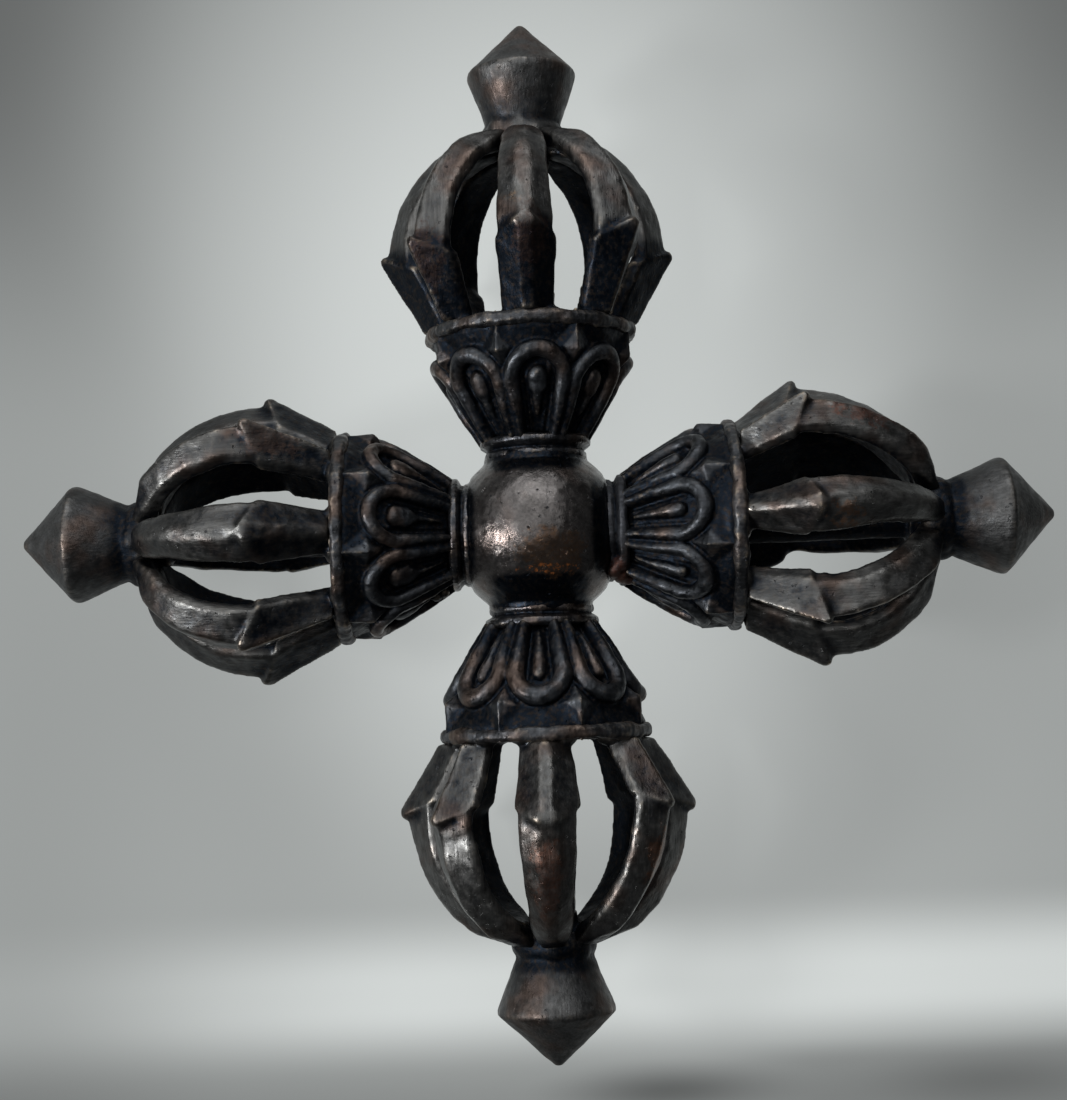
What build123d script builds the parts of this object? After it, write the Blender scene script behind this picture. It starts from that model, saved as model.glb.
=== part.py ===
from build123d import *
import os
from dataclasses import dataclass
from math import cos, hypot, radians, sin, sqrt, tan

# Crossed ritual sceptre: four lotus-footed cages of prongs brazed round one ball.
#
# It lies on its back on a table. +Z is up, the arms lie along +X, +Y, -X and -Y, and the origin is
# on the table under the middle of the ball. Each arm is built standing on its own axis, with local
# +Z running out from the middle of the ball and local +X towards the face, and is then laid in
# its place. Lengths are in millimetres and angles in degrees.

# Ball, and the sockets that hold the arms
BALL_RADIUS = 9.05
SHAFT_RADIUS = 1.9
TENON_DEPTH = 3.8
BRAZE_GAP = 0.05

# Neck collar: a low ring seated on the ball, a sharp groove and a taller bead
COLLAR_LENGTH = 2.2
LOW_RING_RADIUS = 5.35
LOW_RING_WIDTH = 0.6
GROOVE_RADIUS = 4.9
GROOVE_WIDTH = 0.25
BEAD_RADIUS = 5.85
BEAD_BEVEL = 0.5

# Lotus cup: a bellied wall, with a petal leaning on it at every step round it
CUP_LENGTH = 11.6
CUP_NECK_RADIUS = 4.6
CUP_WAIST_RADIUS = 6.3
CUP_BELLY_RADIUS = 9.1
CUP_LIP_RADIUS = 10.0
WAIST_SHARE = 0.17
BELLY_SHARE = 0.57
CUP_SIDES = 16
PETALS = 8
PETAL_HALF_WIDTH = 3.2
PETAL_BAND = 1.5
PETAL_LEG_LENGTH = 6.6
PETAL_LEG_ANGLE = 13.0
PETAL_ROOT_RISE = 1.15
PETAL_CROWN_RISE = 0.5
PETAL_CROWN_SHARE = 0.73
PETAL_HOLLOW = 0.7
TONGUE_HALF_WIDTH = 0.9
TONGUE_HEAD_LENGTH = 1.1
TONGUE_TAIL_LENGTH = 4.2
TONGUE_RISE = 0.5
LEAF_HALF_WIDTH = 1.3
LEAF_LENGTH = 2.6
LEAF_RISE = 0.35

# Rim ring round the cup's mouth
RIM_RISE = 0.95
RIM_WIDTH = 1.4
RIM_BEVEL = 0.35

# Prong: a roofed shoulder leans out to the elbow, and a horn curves in from there to the finial
PRONGS = 8
CAGE_LENGTH = 21.4
FOOT_RADIUS = 11.2
FOOT_WIDTH = 5.7
FOOT_DEPTH = 3.4
FOOT_ROOF = 2.2
ELBOW_RISE = 8.3
ELBOW_RADIUS = 15.75
ELBOW_WORN_RADIUS = 15.3
ELBOW_WIDTH = 6.6
ELBOW_DEPTH = 4.6
ELBOW_ROOF = 3.1
ELBOW_SWEEP = 2.0
STEP_DROP = 1.45
GLOBE_RISE = 8.0
HORN_WIDTH = 5.6
HORN_TIP_WIDTH = 4.4
HORN_DEPTH = 3.4
HORN_ROOF = 2.1
HORN_LAP_ANGLE = 10.0
SEAM_GAP = 0.04

# Spindle: tenon, shaft, hub filed to a flat for every prong, and two-coned finial
HUB_RADIUS = 2.5
HUB_LENGTH = 4.0
FINIAL_NECK_RADIUS = 3.75
FINIAL_RIDGE_RADIUS = 6.05
FINIAL_WAIST_LENGTH = 5.9
FINIAL_CONE_LENGTH = 5.6
FINIAL_TIP_RADIUS = 0.35
FINIAL_RIDGE_WIDTH = 0.45

# Both faces of the cross are worn flat at the elbows that it lies on
REST_WEAR = 0.35

# How far each cutting shape runs past what it cuts
OVERRUN = 2.0

# Stations along an arm, from the middle of the ball
SEAT = sqrt(BALL_RADIUS**2 - LOW_RING_RADIUS**2)
NECK = SEAT + COLLAR_LENGTH
MOUTH = NECK + CUP_LENGTH
LIP = MOUTH - RIM_WIDTH
ELBOW = MOUTH + ELBOW_RISE
GLOBE_CENTRE = MOUTH + GLOBE_RISE
HORN_RADIUS = ELBOW_RADIUS - STEP_DROP
CAGE_END = MOUTH + CAGE_LENGTH
RIDGE = CAGE_END + FINIAL_WAIST_LENGTH
TIP = RIDGE + FINIAL_CONE_LENGTH

# What follows from the sizes above
RIM_RADIUS = CUP_LIP_RADIUS + RIM_RISE
BORE_RADIUS = SHAFT_RADIUS + BRAZE_GAP
BALL_HEIGHT = ELBOW_WORN_RADIUS - REST_WEAR
PRONG_PITCH = 360 / PRONGS
PETAL_PITCH = 360 / PETALS


@dataclass(frozen=True)
class Arm:
    """One hand-set arm: its heading, how far out it is seated, and how its cage and cup are turned."""

    name: str
    heading: float
    set_out: float
    cage_turn: float
    cup_turn: float
    finial_share: float = 1.0


ARMS = (
    Arm("east", 0.0, set_out=-0.35, cage_turn=-8.0, cup_turn=-7.5),
    Arm("north", 90.0, set_out=0.35, cage_turn=-1.0, cup_turn=3.6, finial_share=0.95),
    Arm("west", 179.2, set_out=-0.35, cage_turn=-2.0, cup_turn=9.0),
    Arm("south", 270.0, set_out=0.35, cage_turn=1.0, cup_turn=3.0),
)


def arm_place(arm):
    """Where the arm's own axes stand in the whole."""
    along = (cos(radians(arm.heading)), sin(radians(arm.heading)), 0)
    axes = Plane(origin=(0, 0, BALL_HEIGHT), x_dir=(0, 0, 1), z_dir=along)
    return axes.location * Pos(0, 0, arm.set_out)


def turned(corners):
    """The solid that an outline of (radius, station) corners makes round the arm's axis."""
    return revolve(Plane.XZ * make_face(Polyline(*corners, close=True)), Axis.Z)


def upright(radius, start, end):
    """A plain cylinder on the arm's axis between two stations."""
    length = end - start
    return Pos(0, 0, start + length / 2) * Cylinder(radius, length)


def centre_ball():
    """The ball, with a filed seat and a blind socket for each arm."""
    ball = Pos(0, 0, BALL_HEIGHT) * Sphere(BALL_RADIUS)
    beyond = BALL_RADIUS + OVERRUN
    waste = upright(BALL_RADIUS, SEAT, beyond)
    socket = upright(BORE_RADIUS, SEAT - TENON_DEPTH - BRAZE_GAP, beyond)
    for arm in ARMS:
        ball -= arm_place(arm) * (waste + socket)
    return ball


def neck_collar():
    """The turned collar between the ball and the cup."""
    groove_start = SEAT + LOW_RING_WIDTH
    groove_end = groove_start + GROOVE_WIDTH
    return turned([
        (BORE_RADIUS, SEAT), (LOW_RING_RADIUS, SEAT), (LOW_RING_RADIUS, groove_start),
        (GROOVE_RADIUS, groove_end), (BEAD_RADIUS, groove_end + BEAD_BEVEL),
        (BEAD_RADIUS, NECK - BEAD_BEVEL / 2), (BEAD_RADIUS - BEAD_BEVEL, NECK), (BORE_RADIUS, NECK),
    ])


def cup_line():
    """The (radius, station) corners of the cup's bellied wall, from its neck to its lip."""
    return [
        (CUP_NECK_RADIUS, NECK),
        (CUP_WAIST_RADIUS, NECK + WAIST_SHARE * CUP_LENGTH),
        (CUP_BELLY_RADIUS, NECK + BELLY_SHARE * CUP_LENGTH),
        (CUP_LIP_RADIUS, LIP),
    ]


def arched(half_width, leg_length, centre):
    """A flat petal outline: a round head about a centre, and legs that draw in to the root."""
    slope = radians(PETAL_LEG_ANGLE)
    cheek_x, cheek_y = centre - half_width * sin(slope), half_width * cos(slope)
    root_x, root_y = cheek_x - leg_length * cos(slope), cheek_y - leg_length * sin(slope)
    return make_face(Curve() + [
        Line((root_x, -root_y), (cheek_x, -cheek_y)),
        ThreePointArc((cheek_x, -cheek_y), (centre + half_width, 0), (cheek_x, cheek_y)),
        Line((cheek_x, cheek_y), (root_x, root_y)),
        Line((root_x, root_y), (root_x, -root_y)),
    ])


def bud(centre):
    """The tongue's flat outline: a short pointed head and a long tail towards the root."""
    return make_face(Polyline(
        (centre - TONGUE_TAIL_LENGTH, 0), (centre, -TONGUE_HALF_WIDTH),
        (centre + TONGUE_HEAD_LENGTH, 0), (centre, TONGUE_HALF_WIDTH), close=True,
    ))


def leaning(low, high):
    """A plane through two (radius, station) points, with its x axis up the cup's wall."""
    along = Vector(high[0] - low[0], 0, high[1] - low[1])
    return Plane(origin=(low[0], 0, low[1]), x_dir=along, z_dir=(along.Z, 0, -along.X))


def petal():
    """One lotus petal: a slab with a raised arched border, a hollow and a tongue."""
    root = (CUP_NECK_RADIUS + PETAL_ROOT_RISE, NECK)
    crown = (CUP_LIP_RADIUS + PETAL_CROWN_RISE, NECK + PETAL_CROWN_SHARE * CUP_LENGTH)
    centre = hypot(crown[0] - root[0], crown[1] - root[1]) - PETAL_HALF_WIDTH
    inner_half_width = PETAL_HALF_WIDTH - PETAL_BAND
    slab = extrude(arched(PETAL_HALF_WIDTH, PETAL_LEG_LENGTH, centre), -CUP_NECK_RADIUS / 2)
    slab -= extrude(arched(inner_half_width, PETAL_LEG_LENGTH, centre), -PETAL_HOLLOW)
    tongue = Pos(0, 0, -PETAL_HOLLOW) * extrude(bud(centre), TONGUE_RISE)
    return leaning(root, crown) * (slab + tongue)


def leaf_tip():
    """The point of a back leaf, which shows between two petals under the rim."""
    belly, lip = cup_line()[-2:]
    length = hypot(lip[0] - belly[0], lip[1] - belly[1])
    outline = make_face(Polyline(
        (length - LEAF_LENGTH, -LEAF_HALF_WIDTH), (length, 0), (length - LEAF_LENGTH, LEAF_HALF_WIDTH),
        close=True,
    ))
    point = extrude(outline, LEAF_RISE) + extrude(outline, -CUP_NECK_RADIUS / 2)
    return leaning(belly, lip) * point


def lotus_cup():
    """The flared cup, filed to flats under its petals and the points of the leaves behind."""
    half_side = 180 / CUP_SIDES
    body = loft([
        Pos(0, 0, station) * RegularPolygon(radius, CUP_SIDES, major_radius=False, rotation=half_side)
        for radius, station in cup_line()
    ], ruled=True)
    body += upright(CUP_LIP_RADIUS - BRAZE_GAP, LIP, MOUTH)
    body -= upright(BORE_RADIUS, NECK, MOUTH)
    one_petal, one_leaf = petal(), leaf_tip()
    ornament = []
    for number in range(PETALS):
        ornament.append(Rot(0, 0, number * PETAL_PITCH) * one_petal)
        ornament.append(Rot(0, 0, (number + 0.5) * PETAL_PITCH) * one_leaf)
    room = upright(RIM_RADIUS, NECK, LIP) - upright(BORE_RADIUS, NECK, LIP)
    return body + [piece & room for piece in ornament]


def rim_ring():
    """The bead ring round the cup's mouth, flush with it under the prongs' feet."""
    return turned([
        (CUP_LIP_RADIUS, LIP), (RIM_RADIUS - RIM_BEVEL, LIP), (RIM_RADIUS, LIP + RIM_BEVEL),
        (RIM_RADIUS, MOUTH - RIM_BEVEL), (RIM_RADIUS - RIM_BEVEL, MOUTH), (CUP_LIP_RADIUS, MOUTH),
    ])


def spindle(arm):
    """Tenon, shaft, hub and two-coned finial, made in one piece."""
    ridge_radius = FINIAL_RIDGE_RADIUS * arm.finial_share
    half_band = FINIAL_RIDGE_WIDTH / 2
    turned_work = turned([
        (0, SEAT - TENON_DEPTH), (SHAFT_RADIUS, SEAT - TENON_DEPTH), (SHAFT_RADIUS, CAGE_END),
        (FINIAL_NECK_RADIUS, CAGE_END), (ridge_radius, RIDGE - half_band),
        (ridge_radius, RIDGE + half_band), (FINIAL_TIP_RADIUS, TIP), (0, TIP),
    ])
    flats = RegularPolygon(HUB_RADIUS, PRONGS, major_radius=False, rotation=PRONG_PITCH / 2)
    hub = Pos(0, 0, CAGE_END - HUB_LENGTH) * extrude(flats, HUB_LENGTH)
    return turned_work + Rot(0, 0, arm.cage_turn) * hub


def roofed_section(crest, inward, width, depth, roof):
    """A house-shaped section, with its roof outside and its floor inside.

    crest is the (radius, station) of the roof's ridge, and inward the way from it to the inside.
    """
    def corner(down, across):
        return (crest[0] + down * inward[0], across, crest[1] + down * inward[1])

    half = width / 2
    return make_face(Polyline(
        corner(0, 0), corner(roof, half), corner(depth, half), corner(depth, -half),
        corner(roof, -half), close=True,
    ))


def shoulder():
    """The prong's lower part, a roofed bar that ends in a gable at the elbow."""
    bar = loft([
        roofed_section((FOOT_RADIUS, MOUTH), (-1, 0), FOOT_WIDTH, FOOT_DEPTH, FOOT_ROOF),
        roofed_section((ELBOW_RADIUS, ELBOW), (-1, 0), ELBOW_WIDTH, ELBOW_DEPTH, ELBOW_ROOF),
    ], ruled=True)
    half = ELBOW_WIDTH / 2
    eaves = ELBOW - ELBOW_SWEEP
    gable = make_face(Polyline(
        (-half, MOUTH), (half, MOUTH), (half, eaves), (0, ELBOW), (-half, eaves), close=True
    ))
    return bar & extrude(Plane.YZ * gable, ELBOW_RADIUS)


def horn():
    """The prong's upper part: a roofed bar bent on a circle about the middle of the globe."""
    lap = radians(HORN_LAP_ANGLE)
    crest = (HORN_RADIUS * cos(lap), GLOBE_CENTRE - HORN_RADIUS * sin(lap))
    section = roofed_section(crest, (-cos(lap), sin(lap)), HORN_WIDTH, HORN_DEPTH, HORN_ROOF)
    globe_axis = Axis((0, 0, GLOBE_CENTRE), (0, -1, 0))
    bent = revolve(section, globe_axis, HORN_LAP_ANGLE + 90)
    top = GLOBE_CENTRE + HORN_RADIUS
    half, tip_half = HORN_WIDTH / 2, HORN_TIP_WIDTH / 2
    taper = make_face(Polyline(
        (-half, MOUTH), (half, MOUTH), (half, GLOBE_CENTRE), (tip_half, top), (-tip_half, top),
        (-half, GLOBE_CENTRE), close=True,
    ))
    return bent & extrude(Plane.YZ * taper, HORN_RADIUS)


def prong():
    """One whole prong, mitred to its neighbours, worn at the elbow and cut to the hub and the mouth."""
    half_pitch = radians(PRONG_PITCH / 2)
    apex = SEAM_GAP / 2 / sin(half_pitch)
    inner, outer = HUB_RADIUS + BRAZE_GAP, ELBOW_WORN_RADIUS
    inner_side, outer_side = (inner - apex) * tan(half_pitch), (outer - apex) * tan(half_pitch)
    slice_face = make_face(Polyline(
        (inner, inner_side), (outer, outer_side), (outer, -outer_side), (inner, -inner_side), close=True
    ))
    room = extrude(Pos(0, 0, MOUTH) * slice_face, CAGE_LENGTH, dir=(0, 0, 1))
    return (shoulder() + horn()) & room


def worn_flat(placed):
    """A placed prong, worn off level with the elbows that the cross lies on, on either face."""
    size = 2 * (TIP + OVERRUN)
    return placed & (Pos(0, 0, BALL_HEIGHT) * Box(size, size, 2 * BALL_HEIGHT))


def write(shape, node):
    """Keeps one node's solid under its name."""
    shape.label = node
    export_step(shape, f"parts/{node}.step")


def main():
    """Builds every node."""
    os.makedirs("parts", exist_ok=True)
    write(centre_ball(), "centre_ball")
    collar, cup, ring, one_prong = neck_collar(), lotus_cup(), rim_ring(), prong()
    for arm in ARMS:
        place = arm_place(arm)
        write(place * collar, f"{arm.name}_neck_collar")
        write(place * (Rot(0, 0, arm.cup_turn) * cup), f"{arm.name}_lotus_cup")
        write(place * ring, f"{arm.name}_rim_ring")
        write(place * spindle(arm), f"{arm.name}_spindle")
        for number in range(PRONGS):
            turn = Rot(0, 0, arm.cage_turn + number * PRONG_PITCH)
            write(worn_flat(place * (turn * one_prong)), f"{arm.name}_prong_{number + 1}")


main()
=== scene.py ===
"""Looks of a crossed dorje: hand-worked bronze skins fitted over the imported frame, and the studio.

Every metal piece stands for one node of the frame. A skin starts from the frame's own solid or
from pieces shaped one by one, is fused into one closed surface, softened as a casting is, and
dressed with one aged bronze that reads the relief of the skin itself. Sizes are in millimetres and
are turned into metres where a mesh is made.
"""

import logging
from dataclasses import dataclass, field
from enum import Enum
from math import cos, radians, sin
from random import Random
from typing import Callable, Iterable, Sequence

import bpy
import numpy as np
from mathutils import Euler, Matrix, Vector


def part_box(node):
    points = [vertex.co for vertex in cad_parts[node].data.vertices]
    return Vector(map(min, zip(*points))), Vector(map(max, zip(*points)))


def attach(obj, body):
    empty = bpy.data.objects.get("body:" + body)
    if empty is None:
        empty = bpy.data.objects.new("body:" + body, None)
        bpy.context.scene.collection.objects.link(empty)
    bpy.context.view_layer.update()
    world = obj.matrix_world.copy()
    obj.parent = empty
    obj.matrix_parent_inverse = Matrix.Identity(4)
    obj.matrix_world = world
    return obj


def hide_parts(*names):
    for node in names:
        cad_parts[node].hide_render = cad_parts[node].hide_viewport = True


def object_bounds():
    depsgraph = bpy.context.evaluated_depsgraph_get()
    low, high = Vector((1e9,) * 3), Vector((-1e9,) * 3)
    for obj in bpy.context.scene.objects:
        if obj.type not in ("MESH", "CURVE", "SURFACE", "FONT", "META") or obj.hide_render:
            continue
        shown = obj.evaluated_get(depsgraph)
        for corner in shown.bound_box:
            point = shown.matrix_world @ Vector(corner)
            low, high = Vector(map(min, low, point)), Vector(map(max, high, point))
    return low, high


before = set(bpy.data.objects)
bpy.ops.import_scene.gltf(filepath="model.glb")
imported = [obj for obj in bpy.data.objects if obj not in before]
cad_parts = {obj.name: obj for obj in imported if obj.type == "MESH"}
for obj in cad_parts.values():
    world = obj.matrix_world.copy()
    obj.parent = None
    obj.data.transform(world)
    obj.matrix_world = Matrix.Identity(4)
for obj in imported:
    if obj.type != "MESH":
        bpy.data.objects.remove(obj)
CAD_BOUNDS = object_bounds()

log = logging.getLogger("dorje")
MM = 0.001
# Each piece's pattern is shifted by so many metres from the last one's.
PATTERN_STEP = 0.2
# The brown of the darkest places, where patina fills the hollows and where shade is painted.
BROWN_SHADE_AND_PATINA = (0.021, 0.017, 0.015, 1)
STREAK_STRETCH = (1.0, 1.0, 0.07)
STROKE_STRETCH = (1.0, 1.0, 0.06)
PIT_SPACING = 0.8
PIT_DEPTH = 2.5

Colour = tuple[float, float, float, float]
Triple = tuple[float, float, float]
Pair = tuple[float, float]
Shares = Callable[[np.ndarray], np.ndarray]


def middle(node: str) -> Vector:
    """Gives the middle of a node's box, in metres.

    Args:
        node: Name of the node in the frame.

    Returns:
        The middle point.
    """
    low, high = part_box(node)
    return (low + high) / 2


BALL_CENTRE = middle("centre_ball")
# Stations along an arm, in millimetres from the ball's middle, before an arm is set in or out. They
# are read off the east arm of the frame.
EAST_SET_OUT = -0.35
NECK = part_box("east_lotus_cup")[0].x / MM - EAST_SET_OUT
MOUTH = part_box("east_lotus_cup")[1].x / MM - EAST_SET_OUT
CAGE_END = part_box("east_prong_1")[1].x / MM - EAST_SET_OUT
ELBOW_RISE = 8.3
ELBOW = MOUTH + ELBOW_RISE


@dataclass(frozen=True)
class HandSetting:
    """How one prong departs from the even cage.

    The elbow is slid outwards in millimetres and swung round in degrees, and the rest are shares of
    the even prong: its reach, its width at foot, elbow and tip, and its depth. Then come how blunt
    its elbow's point is, from 0 to 1, and how many millimetres are filed off its ridge.
    """

    slide: float = 0.0
    swing: float = 0.0
    reach: float = 1.0
    foot: float = 0.6
    elbow: float = 1.0
    tip: float = 0.95
    depth: float = 0.85
    blunt: float = 0.0
    filed: float = 0.0


@dataclass(frozen=True)
class Arm:
    """One arm of the cross: its way out from the ball, how its parts are turned, and where shade is painted
    on it.

    The three shares of painted shade, where less light falls, are for the shoulders of its prongs, their
    horns, and their tips.
    """

    name: str
    heading: float
    set_out: float
    cage_turn: float
    cup_turn: float
    number: int
    shade_and_patina: Triple
    prongs: dict[int, HandSetting] = field(default_factory=dict)

    def place(self) -> Matrix:
        """Gives the arm's axes: local Z runs out, local X towards the upper face.

        Returns:
            The matrix that takes local places into the frame's.
        """
        angle = radians(self.heading)
        out = Vector((cos(angle), sin(angle), 0))
        up = Vector((0, 0, 1))
        side = out.cross(up)
        turn = Matrix((up, side, out)).transposed().to_4x4()
        return Matrix.Translation(BALL_CENTRE + out * self.set_out * MM) @ turn


# Each arm's three shares of painted shade darken it where less light falls.
ARMS = (
    Arm(
        "east", heading=0.0, set_out=EAST_SET_OUT, cage_turn=-8.0, cup_turn=-7.5, number=0,
        shade_and_patina=(0.30, 0.16, 0.9), prongs={
            1: HandSetting(slide=-0.75, swing=5.0, foot=0.55, elbow=0.97, tip=0.65, blunt=0.9, filed=0.4),
            2: HandSetting(slide=-0.2, swing=10.0, foot=0.45, elbow=0.85, tip=0.85, depth=1.2, blunt=0.6),
            3: HandSetting(slide=0.6, foot=1.0, elbow=1.05, tip=1.0, depth=1.0, blunt=0.8),
            4: HandSetting(slide=0.3, swing=3.0, foot=1.1),
            5: HandSetting(slide=-0.4, swing=13.5, foot=2.25, elbow=1.05, tip=0.8),
            6: HandSetting(slide=0.5, swing=9.0, foot=1.4, elbow=1.3),
            7: HandSetting(slide=-1.2, reach=1.03, foot=1.0, elbow=1.05, tip=1.0, depth=1.0, blunt=0.8),
            8: HandSetting(slide=-1.2, swing=-2.0, foot=0.5, elbow=0.74, tip=0.85),
        },
    ),
    Arm(
        "north", heading=90.0, set_out=0.35, cage_turn=-1.0, cup_turn=3.6, number=1,
        shade_and_patina=(0.72, 0.22, 0.3), prongs={
            1: HandSetting(slide=0.9, foot=0.86, blunt=0.2, filed=0.5),
            2: HandSetting(slide=1.0, swing=3.6, foot=0.62, elbow=1.05),
            3: HandSetting(slide=-0.4, reach=1.01, foot=1.0, elbow=1.1, tip=1.0, depth=1.0, blunt=0.9),
            4: HandSetting(slide=0.4, swing=1.5),
            5: HandSetting(slide=0.2, elbow=0.9),
            6: HandSetting(slide=-0.5, swing=-2.5),
            7: HandSetting(slide=0.2, reach=1.035, foot=1.0, elbow=1.05, tip=1.0, depth=1.0),
            8: HandSetting(slide=0.2, swing=-7.4, foot=0.5),
        },
    ),
    Arm(
        "west", heading=179.2, set_out=-0.35, cage_turn=-2.0, cup_turn=9.0, number=2,
        shade_and_patina=(0.45, 0.28, 0.7), prongs={
            1: HandSetting(slide=0.6, foot=0.72, elbow=1.05, tip=0.75, blunt=0.5, filed=0.4),
            2: HandSetting(slide=0.8, swing=5.0, foot=0.5, elbow=0.76, tip=0.9, depth=1.0, blunt=1.0),
            3: HandSetting(slide=-0.6, reach=0.985, foot=1.0, elbow=1.05, tip=1.0, depth=1.0, blunt=0.8),
            4: HandSetting(slide=-0.5, swing=2.0),
            5: HandSetting(slide=0.3, swing=1.0, elbow=0.9),
            6: HandSetting(slide=-0.2, swing=-1.5),
            7: HandSetting(foot=1.0, elbow=1.15, tip=1.0, depth=1.0, blunt=0.6),
            8: HandSetting(slide=1.2, swing=-4.5, foot=0.42, elbow=1.05),
        },
    ),
    Arm(
        "south", heading=270.0, set_out=0.35, cage_turn=1.0, cup_turn=3.0, number=3,
        shade_and_patina=(0.32, 0.0, 0.9), prongs={
            1: HandSetting(slide=0.2, foot=0.86, elbow=1.03, tip=0.8, blunt=0.9, filed=0.5),
            2: HandSetting(slide=-0.1, swing=3.5, foot=0.62, elbow=1.05, depth=0.7, blunt=0.4),
            3: HandSetting(slide=-0.7, reach=1.01, foot=1.0, elbow=1.05, tip=1.0, depth=1.0),
            4: HandSetting(slide=0.4, swing=-2.0),
            5: HandSetting(slide=-0.3, elbow=0.9),
            6: HandSetting(slide=0.2, swing=2.0),
            7: HandSetting(slide=-0.6, foot=1.0, elbow=1.05, tip=1.0, depth=1.0),
            8: HandSetting(slide=-1.2, swing=-11.0, foot=0.55, depth=0.7, blunt=0.6),
        },
    ),
)


def deselect_all() -> None:
    """Leaves edit mode and deselects every object."""
    if bpy.context.object and bpy.context.object.mode != "OBJECT":
        bpy.ops.object.mode_set(mode="OBJECT")
    bpy.ops.object.select_all(action="DESELECT")


def pick(piece: bpy.types.Object) -> None:
    """Makes one object the only selected and the active one.

    Args:
        piece: The object.
    """
    deselect_all()
    piece.select_set(True)
    bpy.context.view_layer.objects.active = piece


def pick_points(piece: bpy.types.Object, wanted: Callable[[Vector], bool]) -> None:
    """Opens a piece in edit mode with only the points that pass a test selected.

    Args:
        piece: The mesh object.
        wanted: Says for a point's place whether it is selected.
    """
    pick(piece)
    bpy.ops.object.mode_set(mode="EDIT")
    bpy.ops.mesh.select_mode(type="VERT")
    bpy.ops.mesh.select_all(action="DESELECT")
    bpy.ops.object.mode_set(mode="OBJECT")
    for point in piece.data.vertices:
        point.select = wanted(point.co)
    bpy.ops.object.mode_set(mode="EDIT")


def close_edit() -> None:
    """Goes back to object mode."""
    bpy.ops.object.mode_set(mode="OBJECT")


def copy_of_node(node: str, name: str) -> bpy.types.Object:
    """Copies a node's mesh and merges its loose triangles into one surface.

    Args:
        node: The node to copy.
        name: The new piece's name.

    Returns:
        The new object, in the node's place.
    """
    piece = bpy.data.objects.new(name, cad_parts[node].data.copy())
    piece.data.materials.clear()
    bpy.context.scene.collection.objects.link(piece)
    pick_points(piece, lambda place: True)
    bpy.ops.mesh.remove_doubles(threshold=1e-6)
    close_edit()
    return piece


def joined(pieces: Sequence[bpy.types.Object], name: str) -> bpy.types.Object:
    """Joins several objects into the first one.

    Args:
        pieces: The objects; the first keeps its place and gets the rest.
        name: The name of the result.

    Returns:
        The joined object.
    """
    deselect_all()
    for piece in pieces:
        piece.select_set(True)
    bpy.context.view_layer.objects.active = pieces[0]
    bpy.ops.object.join()
    pieces[0].name = name
    return pieces[0]


def points_of(mesh: bpy.types.Mesh) -> np.ndarray:
    """Reads a mesh's points.

    Args:
        mesh: The mesh.

    Returns:
        Rows of x, y and z.
    """
    flat = np.empty(len(mesh.vertices) * 3)
    mesh.vertices.foreach_get("co", flat)
    return flat.reshape(-1, 3)


def normals_of(mesh: bpy.types.Mesh) -> np.ndarray:
    """Reads a mesh's point normals.

    Args:
        mesh: The mesh.

    Returns:
        Rows of x, y and z.
    """
    flat = np.empty(len(mesh.vertices) * 3)
    mesh.vertices.foreach_get("normal", flat)
    return flat.reshape(-1, 3)


def set_points(mesh: bpy.types.Mesh, places: np.ndarray) -> None:
    """Writes rows of x, y and z back to a mesh's points."""
    mesh.vertices.foreach_set("co", places.ravel())
    mesh.update()


def share_between(value: np.ndarray, low: float, high: float) -> np.ndarray:
    """Says how far each value has come from one limit to another, from 0 to 1."""
    return np.clip((value - low) / (high - low), 0.0, 1.0)


def turned_inward(places: np.ndarray, outward: np.ndarray) -> np.ndarray:
    """Says how far the surface at each point looks towards an arm's axis.

    Args:
        places: Rows of local places; the axis is Z.
        outward: The surface's local normals there.

    Returns:
        A share from 0 to 1 for each point.
    """
    radial = places[:, :2] / np.maximum(np.linalg.norm(places[:, :2], axis=1), 1e-6)[:, None]
    return share_between(-np.einsum("ij,ij->i", outward[:, :2], radial), low=-0.45, high=0.25)


@dataclass(frozen=True)
class Unevenness:
    """One layer of the unevenness that casting and filing leave, as a cloud of bumps.

    The bumps have a size and a height in millimetres and so many finer layers.
    """

    size: float
    height: float
    depth: int = 2

    def add(self, piece: bpy.types.Object) -> None:
        """Pushes the piece's surface in and out by this layer's clouds.

        Args:
            piece: The object; it is the active one.
        """
        clouds = bpy.data.textures.new(f"clouds_{self.size}", "CLOUDS")
        clouds.noise_scale = self.size * MM
        clouds.noise_depth = self.depth
        push = piece.modifiers.new("uneven", "DISPLACE")
        push.texture = clouds
        push.texture_coords = "LOCAL"
        push.mid_level = 0.5
        push.strength = self.height * MM
        bpy.ops.object.modifier_apply(modifier=push.name)


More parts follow.
